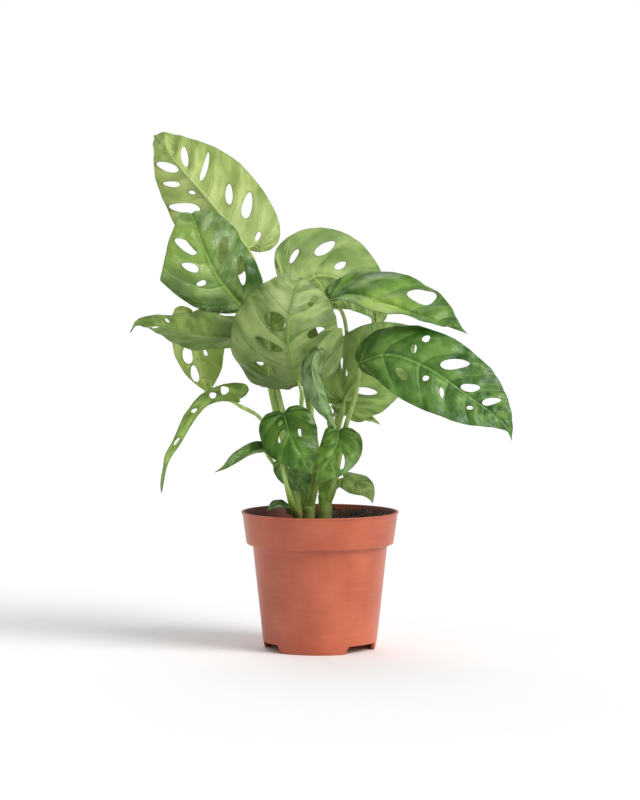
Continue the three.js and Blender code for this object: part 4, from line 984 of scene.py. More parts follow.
cane = {
    "foot": 78,  # height in the soil at which the canes and the stalks on them start
    "step": 1.5,
    "ringSpacing": 11,
    "ringWidth": 1.6,
    "ringSwell": 0.1,
    "topRound": 4,
}
stalk = {
    "sides": 12,
    "groove": 0.2,
    "step": 2.5,
    "startDepth": 10,  # below the top of its cane
    "endRadius": 1.25,
    "slimming": 1.2,
    "kneeSwell": 0.28,  # just under the blade
    "kneeBack": 9,
    "kneeLength": 6,
    "baseSwell": 0.3,  # the sheath round the foot of each stalk
    "baseLength": 26.0,
    "rise": 42,  # angle in degrees at which it meets the midrib
    "approach": 6,
    "underBlade": 7.0,  # how far a stalk runs on under the midrib
    "underDepth": 1.0,
    "underSlim": 0.45,
    "press": 0.9,
    "solidHalf": 0.35,  # half thickness of the CAD blade, height of its midrib and the gap under it
    "solidRib": 0.9,
    "solidGap": 0.3,
}

# cane: x, y, radius, height of its top; stalks: blade, radius at the foot, points that it passes and, where
# it isn't the usual one, its rise
shoots = {
    "shoot_left": {"cane": (-17, -12, 3.2, 112), "stalks": [
        ("leaf_left_arching", 2.6, [[-20, -14, 122], [-31, -17, 150], [-46, -20, 178]], 8),
        ("leaf_front", 2.6, [[-18, -14, 125], [-20, -19, 150], [-26, -32, 172]]),
        ("leaf_front_left_rolled", 2.6, [[-22, -14, 122], [-32, -17, 138], [-39, -26, 149]]),
        ("leaf_front_low", 2.6, [[-21, -26, 112], [-25, -40, 128], [-28, -42, 142]]),
        ("leaf_low_left", 2, [[-20, -10, 108]])]},
    "shoot_middle": {"cane": (-8, -3, 4.2, 116), "stalks": [
        ("leaf_back_left", 4.4,
         [[-15, 4, 125], [-29, 15, 165], [-38, 23, 200], [-43, 26, 240], [-44, 25, 275]]),
        ("leaf_left", 3.9, [[-18, -1, 128], [-30, 4, 165], [-37, 6, 195], [-40, 4, 232], [-47, 0, 252]]),
        ("leaf_left_low", 3.5,
         [[-15, -5, 128], [-25, -6, 165], [-31, -6, 193], [-38, -4, 220], [-48, -1, 232]]),
        ("leaf_left_hanging", 3, [[-18, 14, 140], [-35, 29, 200], [-53, 28, 246], [-70, 14, 262]]),
        ("leaf_centre", 3, [[-9, -12, 128], [-12, -20, 160], [-14, -20, 188]]),
        ("leaf_back_centre", 2.8, [[-13, 8, 135], [-27, 16, 175]]),
        ("leaf_centre_drooping", 2.6, [[-5, -14, 132], [-6, -26, 170], [-6, -34, 192], [-4, -42, 216]]),
        ("leaf_front_right", 2.4, [[-2, -16, 130], [2, -22, 150], [6, -21, 166]])]},
    "shoot_right": {"cane": (4, -2, 5.2, 120), "stalks": [
        ("leaf_back_right", 3.2, [[-1, 16, 140], [-12, 30, 200], [-24, 32, 245]]),
        ("leaf_right_high", 3.2, [[7, 12, 132], [13, 33, 170], [18, 34, 205], [20, 16, 244], [14, 4, 260]]),
        ("leaf_right", 3.4, [[9, -6, 122], [15, -9, 150], [20, -14, 172], [27, -24, 195]]),
        ("leaf_back_low_right", 3, [[9, 1, 132], [14, 4, 165]]),
        ("leaf_low_right_small", 2.6, [[6, 13, 130], [9, 20, 160]]),
        ("leaf_low_right", 2.2, [[10, -5, 122]])]},
}


# Where a stalk ends: up to the midrib at an angle, just under the blade, and on below it.
def stalkEnd(shape, rise):
    point, along, up, _ = (rows[0] for rows in shape.frames(np.array([1.0])))
    under, _, underUp, _ = (rows[0] for rows in shape.frames(np.array([stalk["underBlade"]])))
    heading = along * math.cos(rise) + up * math.sin(rise)
    folded = math.radians(min(0, *(half.get("fold", 0) for half in shape.halves)))
    deep = stalk["solidHalf"] + stalk["solidRib"] + stalk["endRadius"] * math.cos(rise) + stalk["solidGap"]
    end = point - up * (deep / math.cos(folded))
    return (end - heading * stalk["approach"], end + up * stalk["press"],
            under - underUp * stalk["underDepth"])


# The path of one stalk with its radius and its share of the whole length at each place.
def stalkChain(ownCane, node, radius, passed, rise=stalk["rise"]):
    x, y, _, top = ownCane
    end = stalkEnd(bladeShapes[node], math.radians(rise))
    path = catmullPath([(x, y, top - stalk["startDepth"]), *passed, *end], 40)
    length = lengthsAlong(path)[-1]
    path = evenPath(path, max(8, round(length / stalk["step"])))
    share = np.linspace(0, 1, len(path))
    fromFoot = share * length
    freeLength = length - stalk["underBlade"]
    bodyShare = np.minimum(fromFoot / freeLength, 1)
    radii = stalk["endRadius"] + (radius - stalk["endRadius"]) * (1 - bodyShare) ** stalk["slimming"]
    radii *= 1 + stalk["baseSwell"] * np.exp(-(fromFoot / stalk["baseLength"]) ** 2)
    toKnee = (fromFoot - (freeLength - stalk["kneeBack"])) / stalk["kneeLength"]
    radii *= 1 + stalk["kneeSwell"] * np.exp(-toKnee ** 2)
    slim = stalk["underSlim"] + (1 - stalk["underSlim"]) * (length - fromFoot) / stalk["underBlade"]
    return path, radii * np.where(fromFoot > freeLength, slim, 1), share


def caneChain(ownCane):
    x, y, radius, top = ownCane
    heights = np.arange(cane["foot"], top + 0.5, cane["step"])
    path = np.stack([np.full_like(heights, x), np.full_like(heights, y), heights], 1)
    fromRing = (heights - cane["foot"]) % cane["ringSpacing"] - cane["ringSpacing"] / 2
    swell = 1 + cane["ringSwell"] * np.exp(-(fromRing / cane["ringWidth"]) ** 2)
    close = np.sqrt(np.clip((top + 1 - heights) / cane["topRound"], 0.05, 1))
    return path, radius * swell * close, np.zeros(len(heights))


stalkSurface = {
    "lowDark": (130, 166, 62), "lowLight": (176, 204, 104),  # near the soil
    "highDark": (142, 174, 80), "highLight": (188, 212, 124),
    "cloudTone": (108, 136, 60), "cloudTint": 0.3,
    "speckTone": (196, 206, 150), "speckTint": 0.25,
    "dryTone": (132, 100, 66), "dryTint": 0.7,  # only at the foot, between these heights
    "dryFrom": 116, "dryFull": 101,
    "cloudScale": 120.0, "grainScale": 900.0, "streakScale": 1400.0, "streakStretch": 0.06,
    "rough": 0.34, "roughSpread": 0.2,
    "bump": 0.3, "bumpDepth": 0.3,
}


def makeStalkFinish():
    material, tree, shader = newMaterial("stalkGreen")
    look = stalkSurface
    cloud = useGroup(tree, mottle, Broad=look["cloudScale"], Fine=look["grainScale"])
    along = addNode(tree, "ShaderNodeAttribute", attribute_name="along").outputs["Fac"]
    where = addNode(tree, "ShaderNodeTexCoord").outputs["Object"]
    drawnInputs = {"Vector": where, "Scale": (1.0, 1.0, look["streakStretch"])}
    drawn = addNode(tree, "ShaderNodeMapping", drawnInputs).outputs[0]
    streakInputs = {"Vector": drawn, "Scale": look["streakScale"], "Detail": 2.0}
    streak = addNode(tree, "ShaderNodeTexNoise", streakInputs).outputs["Fac"]
    tone = rangeNode(tree, streak, 0.3, 0.7)
    low = mixNode(tree, tone, srgb(*look["lowDark"]), srgb(*look["lowLight"]))
    high = mixNode(tree, tone, srgb(*look["highDark"]), srgb(*look["highLight"]))
    body = mixNode(tree, rangeNode(tree, along, 0.05, 0.6), low, high)
    clouded = rangeNode(tree, cloud["Broad"], 0.45, 0.7)
    body = tint(tree, body, clouded, look["cloudTint"], srgb(*look["cloudTone"]))
    body = tint(tree, body, cloud["Specks"], look["speckTint"], srgb(*look["speckTone"]))
    height = addNode(tree, "ShaderNodeSeparateXYZ", {0: where}).outputs[2]
    nearSoil = rangeNode(tree, height, look["dryFrom"] * mm, look["dryFull"] * mm)
    dry = mathNode(tree, "MULTIPLY", nearSoil, rangeNode(tree, streak, 0.42, 0.6))
    body = tint(tree, body, dry, look["dryTint"], srgb(*look["dryTone"]))
    rough = mathNode(tree, "MULTIPLY_ADD", cloud["Fine"], look["roughSpread"], look["rough"])
    joinSurface(tree, shader, body, rough, streak, look["bump"], look["bumpDepth"])
    return material


stalkTree = makeStalkTree()
stalkFinish = makeStalkFinish()
for node, shoot in shoots.items():
    chains = [caneChain(shoot["cane"])] + [stalkChain(shoot["cane"], *item) for item in shoot["stalks"]]
    stalkPiece = bakePiece(pieceName(node), chainMesh(node + "Chains", chains), stalkTree,
                           {"Sides": stalk["sides"], "Groove": stalk["groove"], "Finish": stalkFinish})
    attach(stalkPiece, "root")
    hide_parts(node)
print("stalks made")


soil = {
    "top": 97.5,
    "lump": 0.9,
    "fineLump": 0.8,
    "dipLeft": 4.0,  # how far it sinks at the left, where the wall of the pot shows
    "dipFrom": -14,
    "dipWidth": 26,
    "riseRight": 3.2,
    "riseFrom": 4,
    "riseWidth": 30,
    "clump": (33, 12, 7.0, 3.0),  # x, y, width and height
    "side": ((41.9, 8.6), (48.8, 80.8), (53.4, 82.2), (56.7, 98.0)),  # radius and height, from the foot up
    "rings": 44,
    "sectors": 110,
}
strewn = {
    "Lowest": 87 * mm,
    "Crumb Density": 420000.0,  # to the square metre
    "Bark Density": 26000.0,
    "Fibre Density": 30000.0,
    "Crumb Size": 0.5 * mm,
    "Bark Size": 1.2 * mm,
    "Fibre Length": 8 * mm,
    "Seed": 7,
}
# kind: how far from the axis it may lie, least and largest scale, seed, how far it may tip over
strewing = {
    "Crumb": (56, (0.5, 0.5, 0.4), (1.7, 1.5, 1.2), 1.0, 3.1),
    "Bark": (54.5, (0.6, 0.5, 0.3), (1.9, 1.1, 0.7), 2.0, 0.6),
    "Fibre": (51, (0.4, 0.7, 0.7), (1.3, 1.5, 1.5), 3.0, 0.7),
}
looseness = {
    "steepest": 0.4,  # upward part of the normal, under which nothing stays on a face
    "fibreRadius": 0.12,
    "bend": 3.2,
    "bendScale": 420.0,
}


# slow lumps, finer ones, and the slope down to the left and up to the right
def soilHeight(x, y):
    lump = math.sin(0.37 * x + 1.3) * math.cos(0.31 * y - 0.7) + 0.7 * math.sin(0.83 * x - 0.71 * y)
    lump += 0.5 * math.cos(1.3 * x + 1.1 * y + 2)
    fine = noise.noise(Vector((x, y, 3)) * 0.22) + 0.6 * noise.noise(Vector((x, y, 9)) * 0.6)
    dipped = min(max((soil["dipFrom"] - x + 0.35 * y) / soil["dipWidth"], 0), 1)
    risen = min(max((x - soil["riseFrom"] + 0.3 * y) / soil["riseWidth"], 0), 1)
    clumpX, clumpY, width, high = soil["clump"]
    clump = high * math.exp(-((x - clumpX) ** 2 + (y - clumpY) ** 2) / width ** 2)
    rise = soil["riseRight"] * risen + clump
    dip = soil["dipLeft"] * dipped ** 1.2
    return soil["top"] + soil["lump"] * lump + soil["fineLump"] * fine + rise - dip


# The body of soil: rings from the middle out to the wall, then down along it to a flat base.
def soilMesh():
    sectors, rings, side = soil["sectors"], soil["rings"], soil["side"]
    verts = [(0, 0, soilHeight(0, 0))]
    for ring in range(1, rings + 1):
        shift = 0.5 * (ring % 2) if ring < rings else 0
        radius = side[-1][0] * (ring / rings) ** 0.8
        for sector in range(sectors):
            turn = (sector + shift) / sectors * math.tau
            x, y = radius * math.cos(turn), radius * math.sin(turn)
            verts.append((x, y, soilHeight(x, y)))
    for radius, height in side[-2::-1]:
        for sector in range(sectors):
            turn = sector / sectors * math.tau
            verts.append((radius * math.cos(turn), radius * math.sin(turn), height))

    def ringStart(ring):
        return 1 + ring * sectors

    lastRing = rings + len(side) - 2
    faces = [(0, 1 + s, 1 + (s + 1) % sectors) for s in range(sectors)]
    for ring in range(lastRing):
        a, b = ringStart(ring), ringStart(ring + 1)
        faces += [(a + s, b + s, b + (s + 1) % sectors, a + (s + 1) % sectors) for s in range(sectors)]
    faces.append([ringStart(lastRing) + s for s in range(sectors)][::-1])
    mesh = bpy.data.meshes.new("soilBase")
    mesh.from_pydata([tuple(part * mm for part in vert) for vert in verts], [], faces)
    mesh.shade_smooth()
    return mesh


# Strews copies of a shape over the chosen faces, each turned and sized at random.
def strew(tree, given, kind, shape, onTop, fromAxis):
    reach, least, largest, seed, tip = strewing[kind]
    inside = mathNode(tree, "MULTIPLY", onTop, mathNode(tree, "LESS_THAN", fromAxis, reach * mm))
    number = float(list(strewing).index(kind))
    markInputs = {"Geometry": shape, "Name": "kind", "Value": number}
    marked = addNode(tree, "GeometryNodeStoreNamedAttribute", markInputs, data_type="FLOAT", domain="FACE")
    seeded = mathNode(tree, "ADD", given["Seed"], seed)
    points = addNode(tree, "GeometryNodeDistributePointsOnFaces", {
        "Mesh": given["Ground"], "Selection": inside, "Density": given[kind + " Density"], "Seed": seeded})
    sizeInputs = {0: least, 1: largest, "Seed": seeded}
    size = addNode(tree, "FunctionNodeRandomValue", sizeInputs, data_type="FLOAT_VECTOR").outputs[0]
    spinInputs = {0: (-tip, -tip, 0.0), 1: (tip, tip, math.tau), "Seed": mathNode(tree, "ADD", seeded, 50.0)}
    spin = addNode(tree, "FunctionNodeRandomValue", spinInputs, data_type="FLOAT_VECTOR").outputs[0]
    placed = addNode(tree, "GeometryNodeInstanceOnPoints", {
        "Points": points.outputs["Points"], "Instance": marked.outputs[0], "Rotation": spin, "Scale": size})
    return addNode(tree, "GeometryNodeRealizeInstances", {"Geometry": placed.outputs[0]}).outputs[0]


def joinShapes(tree, shapes):
    joined = addNode(tree, "GeometryNodeJoinGeometry")
    for shape in shapes:
        tree.links.new(shape, joined.inputs[0])
    return joined.outputs[0]


# Crumbs, bark and root fibres strewn over the faces that look up near the top of the soil.
def makeSoilTree():
    floats = ("Lowest", "Crumb Density", "Bark Density", "Fibre Density", "Crumb Size", "Bark Size",
              "Fibre Length")
    inputs = [("Ground", "NodeSocketGeometry", None)]
    inputs += [(label, "NodeSocketFloat", strewn[label]) for label in floats]
    inputs += [("Seed", "NodeSocketInt", strewn["Seed"])]
    inputs += [(kind, "NodeSocketMaterial", None) for kind in strewing]
    tree, given, result = newShapeTree("strewnSoil", inputs)
    place = addNode(tree, "GeometryNodeInputPosition").outputs[0]
    height = addNode(tree, "ShaderNodeSeparateXYZ", {0: place}).outputs[2]
    normal = addNode(tree, "GeometryNodeInputNormal").outputs[0]
    upward = addNode(tree, "ShaderNodeSeparateXYZ", {0: normal}).outputs[2]
    onTop = mathNode(tree, "MULTIPLY", mathNode(tree, "GREATER_THAN", height, given["Lowest"]),
                     mathNode(tree, "GREATER_THAN", upward, looseness["steepest"]))

    ballInputs = {"Radius": given["Crumb Size"], "Subdivisions": 1}
    ball = addNode(tree, "GeometryNodeMeshIcoSphere", ballInputs).outputs[0]
    chipInputs = {"Radius": given["Bark Size"], "Subdivisions": 2}
    chip = addNode(tree, "GeometryNodeMeshIcoSphere", chipInputs).outputs[0]
    rod = addNode(tree, "GeometryNodeMeshCylinder", {"Vertices": 5, "Side Segments": 6,
                  "Radius": looseness["fibreRadius"] * mm, "Depth": given["Fibre Length"]})
    lyingInputs = {"Geometry": rod.outputs[0], "Rotation": (0.0, math.pi / 2, 0.0)}
    lying = addNode(tree, "GeometryNodeTransform", lyingInputs).outputs[0]
    fromAxis = distanceFromAxis(tree, place)
    loose = joinShapes(tree, [strew(tree, given, kind, shape, onTop, fromAxis)
                              for kind, shape in zip(strewing, (ball, chip, lying))])

    # a noise bends the fibres and makes the crumbs and chips uneven
    where = addNode(tree, "GeometryNodeInputPosition").outputs[0]
    bendInputs = {"Vector": where, "Scale": looseness["bendScale"], "Detail": 1.0}
    wander = addNode(tree, "ShaderNodeTexNoise", bendInputs).outputs["Color"]
    push = vectorNode(tree, "SCALE", vectorNode(tree, "SUBTRACT", wander, (0.5, 0.5, 0.5)))
    push.node.inputs["Scale"].default_value = looseness["bend"] * mm
    bent = addNode(tree, "GeometryNodeSetPosition", {"Geometry": loose, "Offset": push}).outputs[0]
    both = joinShapes(tree, (bent, given["Ground"]))
    done = addNode(tree, "GeometryNodeRealizeInstances", {"Geometry": both}).outputs[0]
    kindField = namedField(tree, "kind")
    for number, kind in enumerate(strewing):
        chosen = mathNode(tree, "COMPARE", kindField, float(number), 0.5)
        materialInputs = {"Geometry": done, "Selection": chosen, "Material": given[kind]}
        done = addNode(tree, "GeometryNodeSetMaterial", materialInputs).outputs[0]
    tree.links.new(done, result["Geometry"])
    return tree


earthFinishes = {
    "Crumb": {"name": "dampEarth", "dark": (34, 25, 18), "light": (72, 56, 42), "pale": (112, 92, 72),
              "rough": 0.75},
    "Bark": {"name": "barkChips", "dark": (54, 32, 22), "light": (104, 70, 48), "pale": (142, 106, 78),
             "rough": 0.68},
    "Fibre": {"name": "rootFibre", "dark": (66, 46, 32), "light": (124, 92, 64), "pale": (168, 138, 104),
              "rough": 0.7},
}
earthSurface = {
    "cloudScale": 260.0, "grainScale": 1500.0, "paleTint": 0.6, "roughSpread": 0.2, "specular": 0.25,
    "bump": 0.7, "bumpDepth": 0.6,
}


def makeEarthFinish(look):
    material, tree, shader = newMaterial(look["name"])
    surface = earthSurface
    cloud = useGroup(tree, mottle, Broad=surface["cloudScale"], Fine=surface["grainScale"])
    clouded = rangeNode(tree, cloud["Broad"], 0.35, 0.65)
    body = mixNode(tree, clouded, srgb(*look["dark"]), srgb(*look["light"]))
    grains = rangeNode(tree, cloud["Fine"], 0.55, 0.8)
    body = tint(tree, body, grains, surface["paleTint"], srgb(*look["pale"]))
    rough = mathNode(tree, "MULTIPLY_ADD", cloud["Fine"], surface["roughSpread"], look["rough"])
    joinSurface(tree, shader, body, rough, cloud["Fine"], surface["bump"], surface["bumpDepth"])
    shader["Specular IOR Level"].default_value = surface["specular"]
    return material


soilMaterials = {kind: makeEarthFinish(look) for kind, look in earthFinishes.items()}
soilPiece = bakePiece("pottingSoil", soilMesh(), makeSoilTree(), {**strewn, **soilMaterials})
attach(soilPiece, "root")
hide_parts("soil")
print("soil made")


pot = {
    "height": 105.0, "rimRadius": 60.0, "lip": 1.2,
    "bandTop": 59.3, "bandFoot": 56.0, "bandLow": 80.4,  # two radii, and the height of the lower one
    "bodyTop": 51.5, "bodyFoot": 43.6, "wall": 1.4, "floor": 7.4,
    "footHeight": 6.0, "footRadius": 42.2, "footWall": 2.0,
    "gaps": 3, "gapTurn": 51.0, "gapHalfWidth": 15.9, "gapFlare": 1.8, "gapRounding": 1.6,
    "gapReach": (24, 56),  # from the axis
    "drains": 6, "drainTurn": 21.0, "drainRadius": 4.0, "drainRing": 27.0, "drainSides": 32,
    "segments": 180, "longestStep": 9,
}


# The corners of the wall as (radius, height, rounding), from the underside out and up to the inside floor.
def potCorners():
    p = pot
    footInside = p["footRadius"] - p["footWall"]
    wall, low, floorInside = p["wall"], p["bandLow"], p["bodyFoot"] - p["wall"]
    underLip = p["height"] - p["lip"]
    return [
        (0, p["footHeight"], 0), (footInside, p["footHeight"], 0.6), (footInside, 0, 0.4),
        (p["footRadius"], 0, 0.6), (p["bodyFoot"], p["footHeight"] + 1.5, 1.2), (p["bodyTop"], low, 0.7),
        (p["bandFoot"], low, 0.9), (p["bandTop"], underLip, 0.3), (p["rimRadius"], underLip, 0.35),
        (p["rimRadius"], p["height"], 0.55), (p["bandTop"] - wall, p["height"], 0.5),
        (p["bandFoot"] - wall, low + wall + 0.6, 1.0), (p["bodyTop"] - wall, low - 0.4, 1.2),
        (floorInside, p["floor"] + 0.8, 1.0), (floorInside - 1, p["floor"], 0.3), (0, p["floor"], 0)]


def roundedOutline(corners):
    rows = []
    for i, (x, z, rounding) in enumerate(corners):
        here = np.array([x, z], float)
        if not rounding:
            rows.append(here)
            continue
        before, after = (np.array(corners[j][:2], float) - here for j in (i - 1, i + 1))
        reach = min(rounding, 0.45 * np.linalg.norm(before), 0.45 * np.linalg.norm(after))
        start, stop = (here + way / np.linalg.norm(way) * reach for way in (before, after))
        for t in (0, 0.25, 0.5, 0.75, 1):
            rows.append(start * (1 - t) ** 2 + 2 * here * t * (1 - t) + stop * t * t)
    return rows


# The wall's outline as a chain of points, with more points on its long straight stretches.
def potOutline():
    rows = roundedOutline(potCorners())
    spaced = [rows[0]]
    for row in rows[1:]:
        last = spaced[-1]
        count = int(np.linalg.norm(row - last) // pot["longestStep"])
        spaced += [last + (row - last) * (k / (count + 1)) for k in range(1, count + 1)]
        spaced.append(row)
    mesh = bpy.data.meshes.new("potOutline")
    edges = [(i, i + 1) for i in range(len(spaced) - 1)]
    mesh.from_pydata([(x * mm, 0, z * mm) for x, z in spaced], edges, [])
    return mesh, len(spaced)


# Turns an outline round the upright axis: each row of a grid is laid on one point of it.
def makeTurnTree():
    inputs = [("Outline", "NodeSocketGeometry", None), ("Rows", "NodeSocketInt", 10),
              ("Segments", "NodeSocketInt", 96), ("Finish", "NodeSocketMaterial", None)]
    tree, given, result = newShapeTree("turnedWall", inputs)
    across = mathNode(tree, "ADD", given["Segments"], 1.0)
    gridInputs = {"Size X": 1.0, "Size Y": 1.0, "Vertices X": given["Rows"], "Vertices Y": across}
    grid = addNode(tree, "GeometryNodeMeshGrid", gridInputs).outputs[0]
    index = addNode(tree, "GeometryNodeInputIndex").outputs[0]
    row = mathNode(tree, "FLOOR", mathNode(tree, "DIVIDE", mathNode(tree, "ADD", index, 0.5), across))
    column = mathNode(tree, "SUBTRACT", index, mathNode(tree, "MULTIPLY", row, across))
    place = addNode(tree, "GeometryNodeInputPosition").outputs[0]
    sampleInputs = {"Geometry": given["Outline"], "Value": place, "Index": row}
    taken = addNode(tree, "GeometryNodeSampleIndex", sampleInputs, data_type="FLOAT_VECTOR", domain="POINT")
    radius, _, height = addNode(tree, "ShaderNodeSeparateXYZ", {0: taken.outputs[0]}).outputs
    turn = mathNode(tree, "MULTIPLY", mathNode(tree, "DIVIDE", column, given["Segments"]), math.tau)
    x = mathNode(tree, "MULTIPLY", radius, mathNode(tree, "COSINE", turn))
    y = mathNode(tree, "MULTIPLY", radius, mathNode(tree, "SINE", turn))
    where = addNode(tree, "ShaderNodeCombineXYZ", {"X": x, "Y": y, "Z": height}).outputs[0]
    wall = addNode(tree, "GeometryNodeSetPosition", {"Geometry": grid, "Position": where}).outputs[0]
    closeInputs = {"Geometry": wall, "Distance": 0.01 * mm}
    closed = addNode(tree, "GeometryNodeMergeByDistance", closeInputs).outputs[0]
    finishTree(tree, closed, given["Finish"], result)
    return tree


# A closed prism between two outlines of the same number of points.
def addPrism(form, first, second):
    rings = [[form.verts.new([part * mm for part in point]) for point in outline]
             for outline in (first, second)]
    for ring in rings:
        form.faces.new(ring)
    for k in range(len(first)):
        form.faces.new((rings[0][k], rings[0][k - 1], rings[1][k - 1], rings[1][k]))


def drainCutter(form):
    sides = pot["drainSides"]
    for i in range(pot["drains"]):
        turn = math.radians(pot["drainTurn"] + i * 360 / pot["drains"])
        middle = (pot["drainRing"] * math.sin(turn), -pot["drainRing"] * math.cos(turn))
        circle = [(middle[0] + pot["drainRadius"] * math.cos(k / sides * math.tau),
                   middle[1] + pot["drainRadius"] * math.sin(k / sides * math.tau)) for k in range(sides)]
        low, high = pot["footHeight"] - 2, pot["floor"] + 0.8
        addPrism(form, [(x, y, low) for x, y in circle], [(x, y, high) for x, y in circle])


# Arched gaps in the foot ring, wider at the ground, which leave the feet between them.
def footGapCutter(form):
    half, top, rounding = pot["gapHalfWidth"], pot["footHeight"], pot["gapRounding"]
    arch = [(-half - pot["gapFlare"], -1)]
    for k in range(9):
        lean = math.pi / 2 * k / 8
        arch.append((-half + rounding * (1 - math.cos(lean)), top - rounding + rounding * math.sin(lean)))
    arch += [(-along, z) for along, z in arch[::-1]]
    for i in range(pot["gaps"]):
        turn = math.radians(pot["gapTurn"] + i * 360 / pot["gaps"])
        outlines = [[(math.sin(turn) * out + math.cos(turn) * along,
                      -math.cos(turn) * out + math.sin(turn) * along, z) for along, z in arch]
                    for out in pot["gapReach"]]
        addPrism(form, *outlines)


def cutterPiece(name, build):
    mesh = bpy.data.meshes.new(name)
    form = bmesh.new()
    build(form)
    bmesh.ops.recalc_face_normals(form, faces=form.faces)
    form.to_mesh(mesh)
    form.free()
    return addPiece(name, mesh)


potSurface = {
    "dark": (178, 85, 56), "light": (194, 100, 68),
    "dragTone": (206, 122, 96), "dragTint": 0.16, "dragScale": 160.0,  # marks drawn round the wall
    "dustTone": (222, 160, 136), "dustTint": 0.25,
    "speckTone": (150, 74, 54), "speckTint": 0.18,
    # soilAndShadeTone: the inner wall darker and browner, partly soil left on it and partly painted shade
    # inside the pot
    "soilAndShadeTone": (104, 48, 34), "soilAndShadeFrom": 83,  # the inner wall over this height
    "cloudScale": 32.0, "grainScale": 900.0, "rough": 0.27, "roughSpread": 0.08,
    "dragHeight": 0.3, "bump": 0.08, "bumpDepth": 0.4,
}


# soil and painted shade on the inner wall of the band, and none outside
def soilAndShadeMask(tree, where, clouds):
    height = addNode(tree, "ShaderNodeSeparateXYZ", {0: where}).outputs[2]
    slope = (pot["bandTop"] - pot["bandFoot"]) / (pot["height"] - pot["bandLow"])
    outside = mathNode(tree, "MULTIPLY_ADD", height, slope, (pot["bandFoot"] - slope * pot["bandLow"]) * mm)
    inwards = mathNode(tree, "SUBTRACT", outside, distanceFromAxis(tree, where))
    mask = rangeNode(tree, inwards, 0.4 * mm, 1.2 * mm)
    start = potSurface["soilAndShadeFrom"] * mm
    mask = mathNode(tree, "MULTIPLY", mask, rangeNode(tree, height, start, start + 2 * mm))
    return mathNode(tree, "MULTIPLY", mask, rangeNode(tree, clouds, 0.2, 0.6, 0.6, 0.95))


def makePotFinish():
    material, tree, shader = newMaterial("terracottaPlastic")
    look = potSurface
    cloud = useGroup(tree, mottle, Broad=look["cloudScale"], Fine=look["grainScale"])
    where = addNode(tree, "ShaderNodeTexCoord").outputs["Object"]
    drawn = addNode(tree, "ShaderNodeMapping", {"Vector": where, "Scale": (0.25, 0.25, 3.0)}).outputs[0]
    dragInputs = {"Vector": drawn, "Scale": look["dragScale"], "Detail": 3.0}
    drag = addNode(tree, "ShaderNodeTexNoise", dragInputs).outputs["Fac"]
    clouded = rangeNode(tree, cloud["Broad"], 0.3, 0.7)
    body = mixNode(tree, clouded, srgb(*look["dark"]), srgb(*look["light"]))
    body = tint(tree, body, rangeNode(tree, drag, 0.5, 0.75), look["dragTint"], srgb(*look["dragTone"]))
    dust = rangeNode(tree, cloud["Fine"], 0.62, 0.8)
    body = tint(tree, body, dust, look["dustTint"], srgb(*look["dustTone"]))
    body = tint(tree, body, cloud["Specks"], look["speckTint"], srgb(*look["speckTone"]))
    # the inner wall above the soil painted darker: partly soil left on it, partly painted shade inside the
    # pot
    body = mixNode(tree, soilAndShadeMask(tree, where, cloud["Broad"]), body, srgb(*look["soilAndShadeTone"]))
    rough = sumOf(tree, look["rough"], [(cloud["Fine"], look["roughSpread"]), (drag, look["roughSpread"])])
    grain = mathNode(tree, "MULTIPLY_ADD", drag, look["dragHeight"], cloud["Fine"])
    joinSurface(tree, shader, body, rough, grain, look["bump"], look["bumpDepth"])
    return material


outlineMesh, outlineRows = potOutline()
potValues = {"Rows": outlineRows, "Segments": pot["segments"], "Finish": makePotFinish()}
potCutters = (cutterPiece("footGaps", footGapCutter), cutterPiece("drains", drainCutter))
potPiece = bakePiece("nurseryPot", outlineMesh, makeTurnTree(), potValues, potCutters)
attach(potPiece, "root")
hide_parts("pot")
print("pot made")


stage = {  # in metres, but for the lens and the sensor
    "floorHalf": 4, "floorTone": (255, 255, 255), "floorCloud": (251, 251, 251), "floorRough": 0.9,
    "backTone": (255, 255, 255), "backStrength": 1.0,
    "skyTone": (255, 255, 255), "skyStrength": 0.42,
    "camera": (0.0, -2.2, 0.3187), "aim": (0.0, 0.0, 0.1898), "lens": 130.32, "sensor": 36.0,
    "lamps": {  # place that it shines from, spread in degrees, strength
        "keyLight": ((1.7, -1.1, 1.65), 30, 2.2),
        "fillLight": ((1.3, -1.7, 0.4), 50, 0.44),
        "backLight": ((-0.3, 1.2, 1.4), 50, 0.66),
    },
}


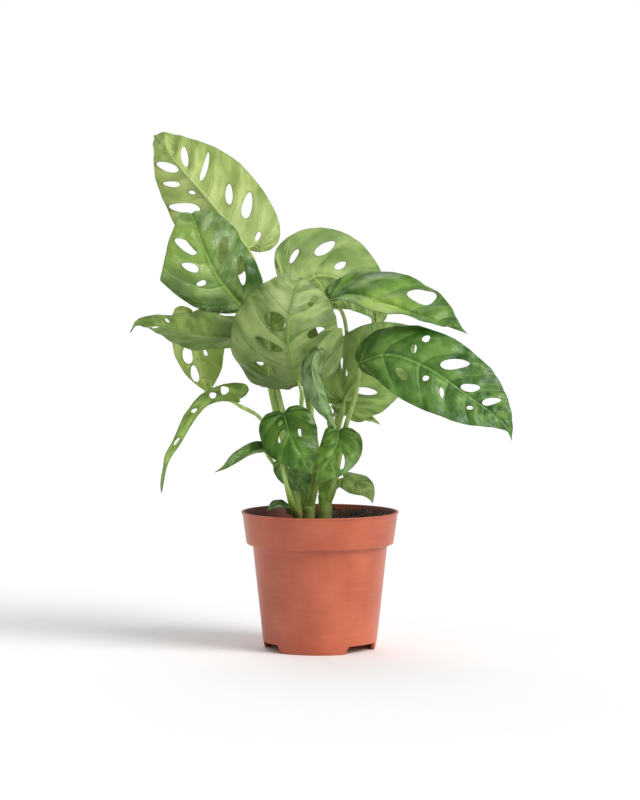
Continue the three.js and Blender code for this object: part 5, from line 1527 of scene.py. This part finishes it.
def lookAt(item, place, aim):
    item.location = place
    item.rotation_euler = (Vector(aim) - Vector(place)).to_track_quat("-Z", "Y").to_euler()


def addFloor():
    half = stage["floorHalf"]
    mesh = bpy.data.meshes.new("floor")
    corners = [(-half, -half, 0), (half, -half, 0), (half, half, 0), (-half, half, 0)]
    mesh.from_pydata(corners, [], [(0, 1, 2, 3)])
    paper, tree, shader = newMaterial("floorPaper")
    cloud = useGroup(tree, mottle, Broad=3.0, Fine=200.0)
    tone = mixNode(tree, cloud["Broad"], srgb(*stage["floorCloud"]), srgb(*stage["floorTone"]))
    tree.links.new(tone, shader["Base Color"])
    shader["Roughness"].default_value = stage["floorRough"]
    mesh.materials.append(paper)
    return addPiece("floor", mesh)


# Soft light from all round; the backdrop stays white behind the plant, whatever light falls on it.
def addSky():
    world = bpy.data.worlds.new("studio")
    world.use_nodes = True
    tree = world.node_tree
    sky = tree.nodes["Background"]
    sky.inputs["Color"].default_value = srgb(*stage["skyTone"])
    sky.inputs["Strength"].default_value = stage["skyStrength"]
    backInputs = {"Color": srgb(*stage["backTone"]), "Strength": stage["backStrength"]}
    back = addNode(tree, "ShaderNodeBackground", backInputs)
    seen = addNode(tree, "ShaderNodeLightPath").outputs["Is Camera Ray"]
    both = addNode(tree, "ShaderNodeMixShader", {0: seen, 1: sky.outputs[0], 2: back.outputs[0]})
    tree.links.new(both.outputs[0], tree.nodes["World Output"].inputs["Surface"])
    bpy.context.scene.world = world


def addLamps():
    for name, (place, spread, strength) in stage["lamps"].items():
        light = bpy.data.lights.new(name, "SUN")
        light.angle = math.radians(spread)
        light.energy = strength
        lookAt(addPiece(name, light), place, (0, 0, 0))


def addCamera():
    view = bpy.data.cameras.new("camera")
    view.lens = stage["lens"]
    view.sensor_width = stage["sensor"]
    view.clip_end = 50
    camera = addPiece("camera", view)
    lookAt(camera, stage["camera"], stage["aim"])
    return camera


floor = addFloor()
addSky()
addLamps()
bpy.context.scene.camera = addCamera()
bpy.context.scene.view_settings.view_transform = "Standard"
print("stage set")

bpy.context.view_layer.update()
